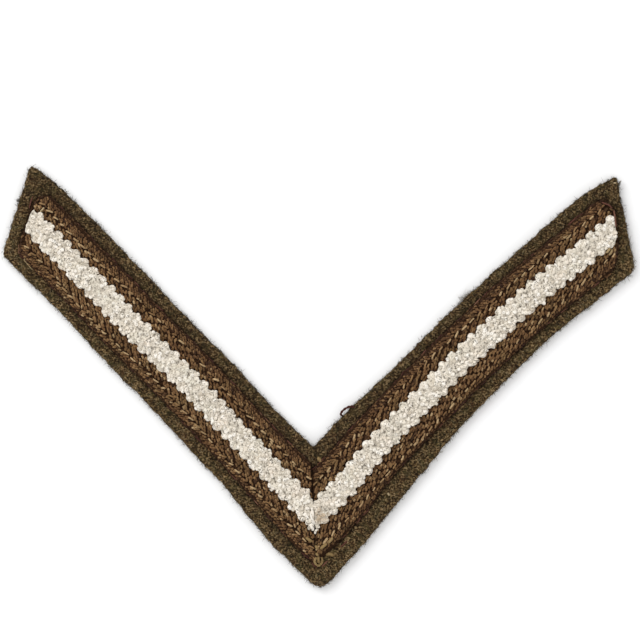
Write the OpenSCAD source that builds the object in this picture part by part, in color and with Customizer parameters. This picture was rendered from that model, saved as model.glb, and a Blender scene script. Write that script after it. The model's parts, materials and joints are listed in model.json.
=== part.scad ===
// Single-bar rank chevron for a sleeve: two lengths of woven lace, mitred at the point,
// lie on a V of wool felt, and each has a raised off-white stripe of knots, with scalloped edges.
// Millimetres. The patch lies face up on z = 0 with its point towards -Y, and the origin
// is the bottom centre of its box.

/* [Left arm] */
// Length of the lace from the mitre to its end, along its middle
left_len = 79.8; // [60:0.2:110]
// Angle of the arm above the level
left_rise = 45.7; // [38:0.1:52]
// Farthest that the arm bows sideways from straight
left_bow = 0.45; // [0:0.05:1.5]
// Slant of the cut felt end from square
left_felt_slant = 28.5; // [0:0.5:40]
// Felt that shows past the lace's end
left_end_margin = 2.9; // [1:0.1:5]
// Slant of the lace end from square
left_lace_slant = 27; // [0:1:40]
// Rounding of the lace's end corner on the side of the crook
left_crook_r = 4.6; // [0.5:0.1:6]
// Rounding of the lace's end corner on the outer side
left_outer_r = 1.8; // [0.5:0.1:6]
// Distance from the mitre to the middle of the first knot at the stripe's edge
left_first_knot = 1.6; // [0:0.1:4]

/* [Right arm] */
// Length of the lace from the mitre to its end, along its middle
right_len = 81; // [60:0.2:110]
// Angle of the arm above the level
right_rise = 43.2; // [38:0.1:52]
// Farthest that the arm bows sideways from straight
right_bow = 1.8; // [0:0.1:3]
// Slant of the cut felt end from square
right_felt_slant = 32; // [0:0.5:40]
// Felt that shows past the lace's end
right_end_margin = 2.2; // [1:0.1:5]
// Slant of the lace end from square
right_lace_slant = 38; // [0:1:42]
// Rounding of the lace's end corner on the side of the crook
right_crook_r = 5.6; // [0.5:0.1:6]
// Rounding of the lace's end corner on the outer side
right_outer_r = 3.4; // [0.5:0.1:6]
// Distance from the mitre to the middle of the first knot at the stripe's edge
right_first_knot = 0.8; // [0:0.1:4]

/* [Felt backing] */
// Thickness of the felt
felt_t = 1.6; // [1:0.1:3]
// Felt that shows beside the lace
felt_margin = 2.5; // [1.5:0.1:5]
// Rounding of the corners of the ends
corner_r = 0.8; // [0.2:0.1:2]
// Rounding of the blunt point
point_r = 2.2; // [0.2:0.1:6]

/* [Lace] */
// Width of the lace
lace_w = 12.5; // [10:0.5:20]
// Thickness of the lace at the crown of its side bands
lace_t = 1.2; // [0.8:0.1:2]
// Gap between the two lengths at the mitre
seam_gap = 0.15; // [0.05:0.05:0.5]
// Lean of the mitre from upright, its foot towards the right arm
seam_lean = 2.5; // [-5:0.5:5]

/* [Raised stripe] */
// Width of the stripe, at the mean of its scallops
stripe_w = 4.8; // [3:0.1:7]
// Height of the stripe above its seat on the lace
stripe_rise = 0.95; // [0.5:0.05:1.6]
// How far the seat lies under the crown of the side bands
seat_depth = 0.2; // [0.1:0.05:0.4]
// Spacing of the knots along the stripe
knot_pitch = 2.6; // [2:0.1:4]
// How far each knot at the edge stands out beyond the mean edge
scallop = 0.28; // [0.1:0.02:0.5]
// Depth of the valleys between knots, as a share of the stripe's height
knot_relief = 0.3; // [0:0.05:0.5]
// Lace that shows past the stripe's end
stripe_end_gap = 0.3; // [0.1:0.1:2]
// Rounding of the stripe's end corner on the side of the crook
stripe_crook_r = 1.9; // [0.2:0.1:2.3]
// Rounding of the stripe's end corner on the outer side
stripe_outer_r = 1.0; // [0.2:0.1:2.3]

/* [Hidden] */

felt_color = [0.30, 0.25, 0.17];
lace_color = [0.36, 0.27, 0.17];
stripe_color = [0.87, 0.84, 0.76];

// One row for each section of an arm. The columns are SHARE of the arm's length, BOW as a
// share of the arm's bow, LACE half width as a share of lace_w / 2, the felt that shows on the
// INNER and the OUTER side of the lace as shares of felt_margin, and the DRIFT of the knots from
// even spacing as a share of knot_pitch.
SHARE = 0;
BOW = 1;
LACE = 2;
INNER = 3;
OUTER = 4;
DRIFT = 5;
LEFT_ROWS = [
    [0.0, -1.00, 1.10, 0.92, 1.20, -0.29],
    [0.1, -0.80, 1.06, 0.96, 1.11, -0.15],
    [0.2, -0.60, 1.00, 0.98, 0.97, 0.00],
    [0.3, -0.10, 1.00, 0.92, 1.03, 0.07],
    [0.4, 0.30, 1.00, 0.97, 0.96, -0.06],
    [0.5, 0.40, 1.00, 0.89, 0.98, 0.02],
    [0.6, 0.00, 1.00, 0.96, 0.93, 0.06],
    [0.7, 0.25, 1.00, 0.99, 0.87, -0.04],
    [0.8, 0.33, 1.00, 1.00, 0.83, -0.19],
    [0.9, 0.27, 1.00, 1.00, 0.92, -0.38],
    [1.0, 0.22, 1.00, 0.93, 0.92, -0.50],
    [1.1, 0.20, 1.00, 0.55, 0.90, -0.50],
];
RIGHT_ROWS = [
    [0.0, -0.42, 1.12, 1.16, 1.52, -0.08],
    [0.1, -0.24, 1.06, 1.18, 1.40, -0.08],
    [0.2, 0.34, 1.00, 1.10, 1.57, -0.06],
    [0.3, 0.62, 1.00, 0.92, 1.35, -0.06],
    [0.4, 0.82, 1.00, 0.77, 1.12, 0.01],
    [0.5, 0.97, 1.00, 0.79, 1.11, 0.13],
    [0.6, 0.98, 1.00, 0.82, 0.97, 0.10],
    [0.7, 0.91, 1.00, 0.82, 0.91, 0.06],
    [0.8, 0.65, 1.00, 0.91, 0.93, 0.01],
    [0.9, 0.31, 1.00, 1.04, 1.01, -0.15],
    [1.0, 0.08, 1.00, 1.00, 1.00, -0.23],
    [1.1, -0.10, 1.00, 0.45, 1.00, -0.23],
];
// Felt that shows beside the lace at the blunt point, on the left and on the right arm's outer
// side, as shares of felt_margin.
POINT_MARGINS = [1.01, 1.79];

// Side band of the lace, from the stripe outwards: share of the band's width, share of lace_t.
BAND_PROFILE = [[0.22, 0.96], [0.50, 1.00], [0.78, 0.90], [0.94, 0.66], [1.00, 0.32]];
// Half of the stripe, from its middle outwards: share of its half width, share of stripe_rise.
STRIPE_PROFILE = [[0.00, 1.00], [0.25, 0.99], [0.50, 0.95], [0.75, 0.83], [1.00, 0.42]];

// Rounding of a strip's two end corners: on the outer side, and on the side of the crook
LEFT_CORNERS = [left_outer_r, left_crook_r];
RIGHT_CORNERS = [right_outer_r, right_crook_r];
STRIPE_CORNERS = [stripe_outer_r, stripe_crook_r];

// An arm is its hand along X, rise, length, bow, felt slant, lace slant, rows, lace corners,
// first knot and end margin.
LEFT = [-1, left_rise, left_len, left_bow, left_felt_slant, left_lace_slant,
    LEFT_ROWS, LEFT_CORNERS, left_first_knot, left_end_margin];
RIGHT = [1, right_rise, right_len, right_bow, right_felt_slant, right_lace_slant,
    RIGHT_ROWS, RIGHT_CORNERS, right_first_knot, right_end_margin];
function hand(arm) = arm[0];
function rise(arm) = arm[1];
function reach(arm) = arm[2];
function bow(arm) = arm[3];
function felt_slant(arm) = arm[4];
function lace_slant(arm) = arm[5];
function rows(arm) = arm[6];
function lace_corners(arm) = arm[7];
function first_knot(arm) = arm[8];
function end_margin(arm) = arm[9];

// Flat seat of the stripe on the lace: its height, and half its width
seat_z = felt_t + lace_t - seat_depth;
seat_half = stripe_w / 2 + scallop;
// Spacing of the lace's sections, and of the points along the felt's edges
section_step = 0.24 * lace_w;
// Least distance from a point of a felt edge to the corner that follows it
corner_gap = section_step / 2;
// Sections of the stripe in each knot
steps_per_knot = 5;
// Points that round one corner
corner_steps = 4;
// Turn from point to point round the end of a strip
end_turn = 15;
// Half width of the trimming prisms, and their height, well past the patch
trim_half = lace_w + 2 * felt_margin;
trim_top = 2 * (felt_t + lace_t + stripe_rise);

// Unit vectors of an arm: along it, outwards from the mitre, and across it, towards the crook
function along(arm) = [hand(arm) * cos(rise(arm)), sin(rise(arm))];
function across(arm) = [-hand(arm) * sin(rise(arm)), cos(rise(arm))];
function place(arm, s, v) = along(arm) * s + across(arm) * v;

// Value of a column at a share of the arm's length, on a smooth curve through the rows
function row_at(rows, i) = rows[min(len(rows) - 1, max(0, i))];
function smooth(rows, column, share) =
    let (spacing = rows[1][SHARE],
         x = min(len(rows) - 1.001, max(0, share / spacing)),
         i = floor(x), f = x - i,
         a = row_at(rows, i - 1)[column], b = row_at(rows, i)[column],
         c = row_at(rows, i + 1)[column], d = row_at(rows, i + 2)[column])
    b + f * (c - a + f * (2 * a - 5 * b + 4 * c - d + f * (3 * (b - c) + d - a))) / 2;
function column_at(arm, column, s) = smooth(rows(arm), column, s / reach(arm));

// Offsets across an arm at station s: the stripe's middle, the lace's half, the felt's edges
function middle(arm, s) = bow(arm) * column_at(arm, BOW, s);
function lace_half(arm, s) = lace_w / 2 * column_at(arm, LACE, s);
function felt_inner(arm, s) =
    middle(arm, s) + lace_half(arm, s) + felt_margin * column_at(arm, INNER, s);
function lace_outer(arm, s) = middle(arm, s) - lace_half(arm, s);
function felt_outer(arm, s) = lace_outer(arm, s) - felt_margin * column_at(arm, OUTER, s);

// Point that lies left_v across the left arm and right_v across the right arm
function meet(left_v, right_v) =
    [left_v * cos(right_rise) - right_v * cos(left_rise),
     left_v * sin(right_rise) + right_v * sin(left_rise)] / sin(left_rise + right_rise);

// Corner at b between a and c, rounded to start r before it and end r after it
function toward(a, b, r) = a + (b - a) * r / norm(b - a);
function corner(a, b, c, r) =
    let (p = toward(b, a, r), q = toward(b, c, r))
    [for (i = [0 : corner_steps]) let (f = i / corner_steps)
        p * (1 - f) * (1 - f) + b * 2 * f * (1 - f) + q * f * f];

// Station of the cut felt end at offset v, and the corners where the felt's edges meet it
function cut_end(arm, v) = reach(arm) + end_margin(arm) + v * tan(felt_slant(arm));
function end_corner(arm, v) = place(arm, cut_end(arm, v), v);
function inner_end(arm) =
    end_corner(arm, felt_inner(arm, cut_end(arm, felt_inner(arm, reach(arm)))));
function outer_end(arm) =
    end_corner(arm, felt_outer(arm, cut_end(arm, felt_outer(arm, reach(arm)))));

// The crook's corner and the point of the felt, where the edges of the two arms meet
function crook_offset(arm) = felt_inner(arm, lace_w / 2 + felt_margin);
notch = meet(crook_offset(LEFT), crook_offset(RIGHT));
point = meet(lace_outer(LEFT, 0) - felt_margin * POINT_MARGINS[0],
    lace_outer(RIGHT, 0) - felt_margin * POINT_MARGINS[1]);

// Points of one arm's felt edges, from the mitre outwards, short of the corners
function inner_edge(arm) =
    let (to = inner_end(arm) * along(arm) - corner_r - corner_gap)
    [for (s = [notch * along(arm) + corner_gap : section_step : to])
        place(arm, s, felt_inner(arm, s))];
function outer_edge(arm) =
    let (to = outer_end(arm) * along(arm) - corner_r - corner_gap)
    [for (s = [0 : section_step : to]) place(arm, s, felt_outer(arm, s))];
function reversed(list) = [for (i = [len(list) - 1 : -1 : 0]) list[i]];
function last(list) = list[len(list) - 1];
function felt_side(arm) =
    let (inner = inner_edge(arm), outer = outer_edge(arm))
    concat(inner,
        corner(last(inner), inner_end(arm), outer_end(arm), corner_r),
        corner(inner_end(arm), outer_end(arm), last(outer), corner_r),
        reversed(outer));
felt_outline = concat([notch], felt_side(LEFT),
    corner(outer_edge(LEFT)[0], point, outer_edge(RIGHT)[0], point_r),
    reversed(felt_side(RIGHT)));

// Bottom centre of the box, seen from the mitre
outline_x = [for (p = felt_outline) p.x];
outline_y = [for (p = felt_outline) p.y];
box_middle = [min(outline_x) + max(outline_x), min(outline_y) + max(outline_y)] / 2;

// Closed solid through rings of equally many points, each ring in the order that
// turns clockwise when seen from the last ring
module loft(rings) {
    count = len(rings[0]);
    top = len(rings) - 1;
    polyhedron(
        points = [for (ring = rings) each ring],
        faces = concat(
            [[for (j = [count - 1 : -1 : 0]) j]],
            [for (i = [0 : top - 1], j = [0 : count - 1])
                let (a = i * count + j, b = i * count + (j + 1) % count, c = b + count, d = a + count)
                each [[a, b, c], [a, c, d]]],
            [[for (j = [0 : count - 1]) top * count + j]]),
        convexity = 6);
}

// Section of an arm at station s: a list of [offset across, height] pairs put in space,
// and turned round on the left arm, which is the other hand
function section(arm, s, pairs) =
    let (ring = [for (p = pairs) let (q = place(arm, s, p[0])) [q.x, q.y, p[1]]])
    hand(arm) > 0 ? ring : reversed(ring);

// Station of the slanted end at offset v, for a strip of this half width whose two corners are
// rounded
function strip_end(arm, v, half, corners) =
    let (off = v - middle(arm, reach(arm)),
         radius = min(half, off > 0 ? corners[1] : corners[0]),
         t = min(1, max(0, (abs(off) - half + radius) / radius)))
    reach(arm) + v * tan(lace_slant(arm)) - radius * (1 - sqrt(1 - t * t));

// Prism over one arm, from the mitre to that end, or to gap short of it
module arm_trim(arm, half, corners, gap) {
    seam = [-sin(seam_lean), cos(seam_lean)];
    slope = (seam * along(arm)) / (seam * across(arm));
    gap_s = seam_gap / 2 / abs(cross(seam, along(arm)));
    end = [for (a = [-90 : end_turn : 90]) let (v = middle(arm, reach(arm)) + half * sin(a))
        [strip_end(arm, v, half, corners) - gap, v]];
    linear_extrude(trim_top)
        polygon(concat(
            [place(arm, gap_s - trim_half * slope, -trim_half), place(arm, end[0][0], -trim_half)],
            [for (e = end) place(arm, e[0], e[1])],
            [place(arm, last(end)[0], trim_half), place(arm, gap_s + trim_half * slope, trim_half)]));
}

module backing() {
    color(felt_color)
        translate(-box_middle)
            linear_extrude(felt_t)
                polygon(felt_outline);
}

function band_pairs(arm, s, side) =
    let (m = middle(arm, s), width = lace_half(arm, s) - seat_half)
    concat([[m + side * seat_half, seat_z]],
        [for (p = BAND_PROFILE) [m + side * (seat_half + p[0] * width), felt_t + lace_t * p[1]]]);
function lace_pairs(arm, s) =
    let (m = middle(arm, s), half = lace_half(arm, s))
    concat([[m - half, felt_t]], reversed(band_pairs(arm, s, -1)),
        band_pairs(arm, s, 1), [[m + half, felt_t]]);

module lace(arm) {
    sections = ceil((reach(arm) + 2 * lace_w) / section_step);
    color(lace_color)
        translate(-box_middle)
            intersection() {
                loft([for (i = [0 : sections]) let (s = i * section_step - lace_w)
                    section(arm, s, lace_pairs(arm, s))]);
                arm_trim(arm, lace_half(arm, reach(arm)), lace_corners(arm), 0);
            }
}

// Wave along the stripe whose crests are the knots at its edges
function knot_wave(arm, s) =
    cos(360 * ((s - first_knot(arm)) / knot_pitch - column_at(arm, DRIFT, s)));
// Height of the stripe's surface at station s and at a share of its half width. The knots lie
// like bricks in five columns, each half a pitch further on than its neighbours.
function stripe_z(arm, s, share, height) =
    let (knot = knot_wave(arm, s) * cos(360 * share))
    seat_z + stripe_rise * height * (1 - knot_relief * (1 - knot) / 2);
function stripe_half(arm, s) = stripe_w / 2 + scallop * knot_wave(arm, s);
function stripe_pairs(arm, s, side) =
    let (m = middle(arm, s), half = stripe_half(arm, s))
    [for (p = STRIPE_PROFILE) [m + side * half * p[0], stripe_z(arm, s, p[0], p[1])]];
function stripe_ring(arm, s) =
    let (m = middle(arm, s), half = stripe_half(arm, s), inner = stripe_pairs(arm, s, 1))
    concat([[m - half, seat_z]], reversed(stripe_pairs(arm, s, -1)),
        [for (i = [1 : len(inner) - 1]) inner[i]], [[m + half, seat_z]]);

module stripe(arm) {
    step = knot_pitch / steps_per_knot;
    sections = ceil((reach(arm) + 2 * lace_w) / step);
    color(stripe_color)
        translate(-box_middle)
            intersection() {
                loft([for (i = [0 : sections]) let (s = i * step - lace_w)
                    section(arm, s, stripe_ring(arm, s))]);
                arm_trim(arm, seat_half, STRIPE_CORNERS, stripe_end_gap);
            }
}

module left_lace() lace(LEFT);
module right_lace() lace(RIGHT);
module left_stripe() stripe(LEFT);
module right_stripe() stripe(RIGHT);

backing();
left_lace();
right_lace();
left_stripe();
right_stripe();
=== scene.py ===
"""The looks of a rank chevron patch: two lengths of woven lace, each with a knotted off-white
stripe, mitred at the point and sewn to a V of napped felt. Metres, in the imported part's frame."""
import json
import math
from collections import namedtuple

import bmesh
import bpy
import numpy as np
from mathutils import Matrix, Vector, noise

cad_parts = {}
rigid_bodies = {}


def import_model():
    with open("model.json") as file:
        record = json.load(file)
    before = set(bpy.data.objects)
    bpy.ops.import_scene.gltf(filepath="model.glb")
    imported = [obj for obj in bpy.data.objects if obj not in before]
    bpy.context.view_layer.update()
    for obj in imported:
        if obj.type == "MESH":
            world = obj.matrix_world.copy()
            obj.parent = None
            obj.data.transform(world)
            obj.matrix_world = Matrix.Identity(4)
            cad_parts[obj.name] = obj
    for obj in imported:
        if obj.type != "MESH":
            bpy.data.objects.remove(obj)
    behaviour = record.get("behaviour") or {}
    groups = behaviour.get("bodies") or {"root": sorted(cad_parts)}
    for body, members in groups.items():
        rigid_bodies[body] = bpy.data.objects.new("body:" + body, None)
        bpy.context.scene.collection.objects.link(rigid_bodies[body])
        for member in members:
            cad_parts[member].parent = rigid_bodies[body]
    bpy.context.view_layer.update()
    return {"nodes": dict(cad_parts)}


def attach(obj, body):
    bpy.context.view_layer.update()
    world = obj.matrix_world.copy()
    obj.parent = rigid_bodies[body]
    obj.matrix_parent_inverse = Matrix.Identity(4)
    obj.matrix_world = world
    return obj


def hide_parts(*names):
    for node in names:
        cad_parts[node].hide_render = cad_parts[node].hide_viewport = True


for spare in list(bpy.data.objects):
    bpy.data.objects.remove(spare)
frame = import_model()

MM = 0.001
UP = np.array([0.0, 0.0, 1.0])

# Sizes of the cloth, as the part's source has them
FELT_T = 1.6 * MM
LACE_W = 12.5 * MM
LACE_T = 1.2 * MM
SEAM_GAP = 0.15 * MM
SEAM_LEAN = math.radians(2.5)
STRIPE_W = 4.8 * MM
STRIPE_RISE = 0.95 * MM
SEAT_DEPTH = 0.2 * MM
KNOT_PITCH = 2.6 * MM
SCALLOP = 0.28 * MM
STRIPE_END_GAP = 0.3 * MM
SEAT_Z = FELT_T + LACE_T - SEAT_DEPTH
SEAT_HALF = STRIPE_W / 2 + SCALLOP
# Where the arms' middles meet, in the frame
MITRE = np.array([-1.0154, -26.2854]) * MM
# Direction of the mitre, and spacing of the arms' rows as a share of their length
SEAM = np.array([-math.sin(SEAM_LEAN), math.cos(SEAM_LEAN)])
ROW_SPACING = 0.1
# Points of a line round a lace: along a side, and round the end
SIDE_POINTS = 400
END_POINTS = 200
# Radius of the stripes' end corners, on the outer side and on the side of the crook
STRIPE_CORNERS = (1.0 * MM, 1.9 * MM)

# Side band of the lace, from the stripe outwards: share of its width, share of the lace's
# thickness
BAND_PROFILE = np.array([[0, 0.93], [0.2, 1], [0.5, 1], [0.76, 0.88], [0.87, 0.66], [0.94, 0.46],
                         [1, 0.28]])
# Half of the stripe, from its middle outwards: share of its half width, share of its rise
STRIPE_PROFILE = np.array([[0, 1], [0.25, 0.99], [0.5, 0.95], [0.75, 0.83], [1, 0.42]])

# The photograph's frame: its side in pixels, a pixel's real size, and the pixel over the mitre
PHOTO_SIDE = 640
PIXEL = 0.195 * MM
MITRE_PX = (313.09, 511.34)
# The pixel that the camera is over
MIDDLE_PX = (319.5, 320)
# Middle of the beige stain on the right stripe
STAIN_PX = (322, 516)


def at_pixel(px, py, z):
    """Place under a pixel of the photograph, at height z."""
    x, y = MITRE
    return np.array([x + (px - MITRE_PX[0]) * PIXEL, y + (MITRE_PX[1] - py) * PIXEL, z])


STAIN = at_pixel(*STAIN_PX, FELT_T + LACE_T + STRIPE_RISE)


def smooth(a, b, c, d, f):
    """Value at share f of the way from b to c, on a smooth curve that also passes a and d."""
    return b + f * (c - a + f * (2 * a - 5 * b + 4 * c - d + f * (3 * (b - c) + d - a))) / 2


class Arm:
    """One arm of the V. A station s is measured along it from the mitre, and an offset v across
    it, towards the crook. Corners, pits and shades are pairs, for the outer side and for the side
    of the crook: the radius of the end's corner, how far past a knot the weave's first pit lies,
    and how much paler the yarn is. The knots at the stripe's edge lie further along by the skew
    on the side of the crook, and less far on the outer side. The rows start at the mitre, a tenth
    of the arm apart. Each is the bow and the lace's half width as shares, how many knots the
    stripe is ahead of even spacing, and how far from the middle the pale stitches lie on the two
    sides, as a share of half the lace's width."""

    def __init__(self, name, hand, rise, reach, bow, slant, corners, first_knot, skew, pits,
                 shades, rows):
        angle = math.radians(rise)
        self.name, self.hand, self.reach, self.bow = name, hand, reach, bow
        self.slope = math.tan(math.radians(slant))
        self.corners, self.first_knot, self.skew = corners, first_knot, skew
        self.pits, self.shades = pits, shades
        self.rows = np.array(rows)
        self.along = np.array([hand * math.cos(angle), math.sin(angle)])
        self.across = np.array([-hand * math.sin(angle), math.cos(angle)])
        self.seam_slope = (SEAM @ self.along) / (SEAM @ self.across)

    def column(self, index, s):
        """A column of the rows at station s, on a smooth curve through them."""
        last = len(self.rows) - 1
        x = np.clip(s / self.reach / ROW_SPACING, 0, last - 0.001)
        i = np.floor(x).astype(int)
        f = x - i
        return smooth(*(self.rows[np.clip(i + k, 0, last), index] for k in (-1, 0, 1, 2)), f)

    def middle(self, s):
        return self.bow * self.column(0, s)

    def half(self, s):
        return LACE_W / 2 * self.column(1, s)

    def drift(self, s):
        return KNOT_PITCH * self.column(2, s)

    def pale_off(self, side, s):
        """Distance of the pale stitches from the middle."""
        return LACE_W / 2 * self.column(3 + (side > 0), s)

    def first(self, v):
        """Station where the mitre cuts the line at offset v."""
        return self.seam_slope * v + SEAM_GAP / 2

    def end(self, v, half, corners):
        """Station of a slanted end whose corners are rounded, at offset v."""
        off = v - self.middle(self.reach)
        radius = np.where(off > 0, corners[1], corners[0])
        t = np.clip((np.abs(off) - half + radius) / radius, 0, 1)
        return self.reach + self.slope * v - radius * (1 - np.sqrt(1 - t * t))

    def last(self, v):
        """Station of the lace's end at offset v."""
        return self.end(v, self.half(self.reach), self.corners)

    def stripe_last(self, v):
        """Station of the stripe's end at offset v."""
        return self.end(v, SEAT_HALF, STRIPE_CORNERS) - STRIPE_END_GAP

    def round_line(self, out):
        """Stations and offsets of a line round the lace: out along the outer side, round the end
        and back on the side of the crook, always that far outside the edge."""
        half, middle = self.half(self.reach), self.middle(self.reach)
        run = np.linspace(0, 1, SIDE_POINTS)
        sweep = np.linspace(-math.pi / 2, math.pi / 2, END_POINTS)[1:-1]
        outer_v, crook_v = middle - half, middle + half
        s = [run * self.last(outer_v), None, run[::-1] * self.last(crook_v)]
        v = [self.middle(s[0]) - self.half(s[0]), middle + half * np.sin(sweep),
             self.middle(s[2]) + self.half(s[2])]
        s[1] = self.last(v[1])
        s, v = np.concatenate(s), np.concatenate(v)
        ds, dv = np.gradient(s), np.gradient(v)
        step = np.hypot(ds, dv)
        s, v = s + out * dv / step, v - out * ds / step
        kept = s > self.first(v)
        return s[kept], v[kept]

    def spot(self, s, v, z):
        """Places in the frame of stations, offsets and heights."""
        s, v, z = np.broadcast_arrays(s, v, z)
        flat = MITRE + s[..., None] * self.along + v[..., None] * self.across
        return np.concatenate([flat, z[..., None]], axis=-1)

    def stations(self, points):
        """Stations and offsets of places in the frame."""
        flat = points[..., :2] - MITRE
        return flat @ self.along, flat @ self.across

    def heading(self, turn):
        """Level direction at an anticlockwise angle from the arm's own."""
        c, s = np.cos(turn), np.sin(turn)
        x, y = self.along
        return np.stack([c * x - s * y, s * x + c * y, np.zeros_like(c)], axis=-1)

    def distance(self, points):
        """How far places lie outside this arm's lace, seen from above. Inside is negative."""
        s, v = self.stations(points)
        side = np.abs(v - self.middle(s)) - self.half(s)
        end = (s - self.last(v)) / math.hypot(1, self.slope)
        mitre = (self.first(v) - s) / math.hypot(1, self.seam_slope)
        return np.maximum(np.maximum(side, end), mitre)


LEFT = Arm("left", hand=-1, rise=45.7, reach=79.8 * MM, bow=0.45 * MM, slant=27,
           corners=(1.8 * MM, 4.6 * MM), first_knot=1.6 * MM, skew=0,
           pits=(0.25 * MM, 0.65 * MM), shades=(0.06, 0.02), rows=[
    [-1.00, 1.10, -0.29, 0.75, 0.74], [-0.80, 1.06, -0.15, 0.78, 0.67],
    [-0.60, 1.00, 0.00, 0.78, 0.66], [-0.10, 1.00, 0.07, 0.75, 0.64],
    [0.30, 1.00, -0.06, 0.73, 0.66], [0.40, 1.00, 0.02, 0.70, 0.72],
    [0.00, 1.00, 0.06, 0.74, 0.71], [0.25, 1.00, -0.04, 0.79, 0.66],
    [0.33, 1.00, -0.19, 0.77, 0.60], [0.27, 1.00, -0.38, 0.67, 0.60],
    [0.22, 1.00, -0.50, 0.66, 0.62], [0.20, 1.00, -0.50, 0.66, 0.62]])
RIGHT = Arm("right", hand=1, rise=43.2, reach=81 * MM, bow=1.8 * MM, slant=38,
            corners=(3.4 * MM, 5.6 * MM), first_knot=0.8 * MM, skew=0.24 * MM,
            pits=(2.14 * MM, 2.3 * MM), shades=(0, -0.04), rows=[
    [-0.42, 1.12, -0.08, 0.80, 0.70], [-0.24, 1.06, -0.08, 0.77, 0.71],
    [0.34, 1.00, -0.06, 0.82, 0.75], [0.62, 1.00, -0.06, 0.82, 0.72],
    [0.82, 1.00, 0.01, 0.81, 0.71], [0.97, 1.00, 0.13, 0.75, 0.70],
    [0.98, 1.00, 0.10, 0.77, 0.67], [0.91, 1.00, 0.06, 0.78, 0.70],
    [0.65, 1.00, 0.01, 0.74, 0.70], [0.31, 1.00, -0.15, 0.64, 0.72],
    [0.08, 1.00, -0.23, 0.64, 0.69], [-0.10, 1.00, -0.23, 0.64, 0.67]])
ARMS = (LEFT, RIGHT)


def lace_distance(points):
    """How far places lie outside both laces, seen from above."""
    return np.minimum(*(arm.distance(points) for arm in ARMS))


def crook_side(points):
    """1 for places on the crook's side of the laces, 0 on the outer side."""
    left, right = (arm.distance(points) for arm in ARMS)
    inner = [arm.stations(points)[1] > 0 for arm in ARMS]
    return np.where(left < right, *inner).astype(float)


def band_height(share):
    """Height of a side band's surface at a share of its width, from the stripe outwards."""
    return FELT_T + LACE_T * np.interp(share, *BAND_PROFILE.T)


def stripe_rise(off):
    """Height of the stripe's surface above its seat at a distance from its middle."""
    return STRIPE_RISE * np.interp(off / SEAT_HALF, *STRIPE_PROFILE.T)


def face_height(points):
    """Height of the patch's upper face at places in the frame."""
    z = np.full(len(points), FELT_T)
    for arm in ARMS:
        s, v = arm.stations(points)
        off = np.abs(v - arm.middle(s))
        share = (off - SEAT_HALF) / (arm.half(s) - SEAT_HALF)
        lace = np.where(share > 0, band_height(share), SEAT_Z + stripe_rise(off))
        z = np.where(arm.distance(points) < 0, lace, z)
    return z


# Shaping with Blender's own tools


def only(piece):
    """Makes a piece the one selected and active object."""
    bpy.ops.object.select_all(action="DESELECT")
    piece.select_set(True)
    bpy.context.view_layer.objects.active = piece


def modify(piece, kind, **settings):
    """Adds a modifier to a piece and applies it."""
    only(piece)
    modifier = piece.modifiers.new(kind.lower(), kind)
    for key, value in settings.items():
        setattr(modifier, key, value)
    bpy.ops.object.modifier_apply(modifier=modifier.name)


def edit(piece, chosen, operator, **settings):
    """Runs an edit-mode operator on the vertices whose place chosen accepts."""
    only(piece)
    bpy.ops.object.mode_set(mode="EDIT")
    bpy.ops.mesh.select_all(action="DESELECT")
    mesh = bmesh.from_edit_mesh(piece.data)
    mesh.select_mode = {"VERT"}
    for vert in mesh.verts:
        vert.select_set(bool(chosen(vert.co)))
    mesh.select_flush_mode()
    bmesh.update_edit_mesh(piece.data)
    operator(**settings)
    bpy.ops.object.mode_set(mode="OBJECT")


def lift_out(piece):
    """Takes a pattern's mesh and removes its object."""
    mesh = piece.data
    bpy.data.objects.remove(piece)
    return mesh


def ball_pattern(segments, rings):
    """A ball one unit across whose poles lie along X."""
    bpy.ops.object.select_all(action="DESELECT")
    bpy.ops.mesh.primitive_uv_sphere_add(
        segments=segments, ring_count=rings, radius=0.5, rotation=(0, math.pi / 2, 0))
    bpy.ops.object.transform_apply(location=False, rotation=True, scale=False)
    return bpy.context.object


def rod_pattern(sides, rings):
    """A closed rod one unit long and wide, along X, cut into that many rings."""
    bpy.ops.object.select_all(action="DESELECT")
    bpy.ops.mesh.primitive_cylinder_add(
        vertices=sides, radius=0.5, depth=1, rotation=(0, math.pi / 2, 0))
    bpy.ops.object.transform_apply(location=False, rotation=True, scale=False)
    rod = bpy.context.object
    for k in range(1, rings - 1):
        edit(rod, lambda co: True, bpy.ops.mesh.bisect,
             plane_co=(k / (rings - 1) - 0.5, 0, 0), plane_no=(1, 0, 0))
    return rod


def grain_pattern():
    """A short plump length of yarn whose ends dip under its neighbours."""
    grain = ball_pattern(6, 7)
    edit(grain, lambda co: abs(co.x) < 0.47, bpy.ops.transform.resize,
         value=(1.08, 1, 1), center_override=(0, 0, 0))
    edit(grain, lambda co: 0.3 < abs(co.x) < 0.49, bpy.ops.transform.resize,
         value=(1, 1.25, 1.25), center_override=(0, 0, 0))
    edit(grain, lambda co: abs(co.x) > 0.3, bpy.ops.transform.translate, value=(0, 0, -0.12))
    edit(grain, lambda co: abs(co.x) > 0.47, bpy.ops.transform.translate, value=(0, 0, -0.22))
    return lift_out(grain)


def knot_pattern():
    """A soft flat-topped pad of cotton."""
    knot = ball_pattern(8, 6)
    edit(knot, lambda co: co.z > 0.15, bpy.ops.transform.resize,
         value=(1.12, 1.12, 0.8), center_override=(0, 0, 0.1))
    edit(knot, lambda co: abs(co.x) > 0.35, bpy.ops.transform.resize,
         value=(0.96, 1.2, 1.1), center_override=(0, 0, 0))
    return lift_out(knot)


def loop_pattern(around, across, thickness):
    """A closed loop of yarn one unit wide, lying flat. Thickness is the yarn's, as a share."""
    bpy.ops.object.select_all(action="DESELECT")
    bpy.ops.mesh.primitive_torus_add(
        major_segments=around, minor_segments=across,
        major_radius=(1 - thickness) / 2, minor_radius=thickness / 2)
    return bpy.context.object


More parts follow.
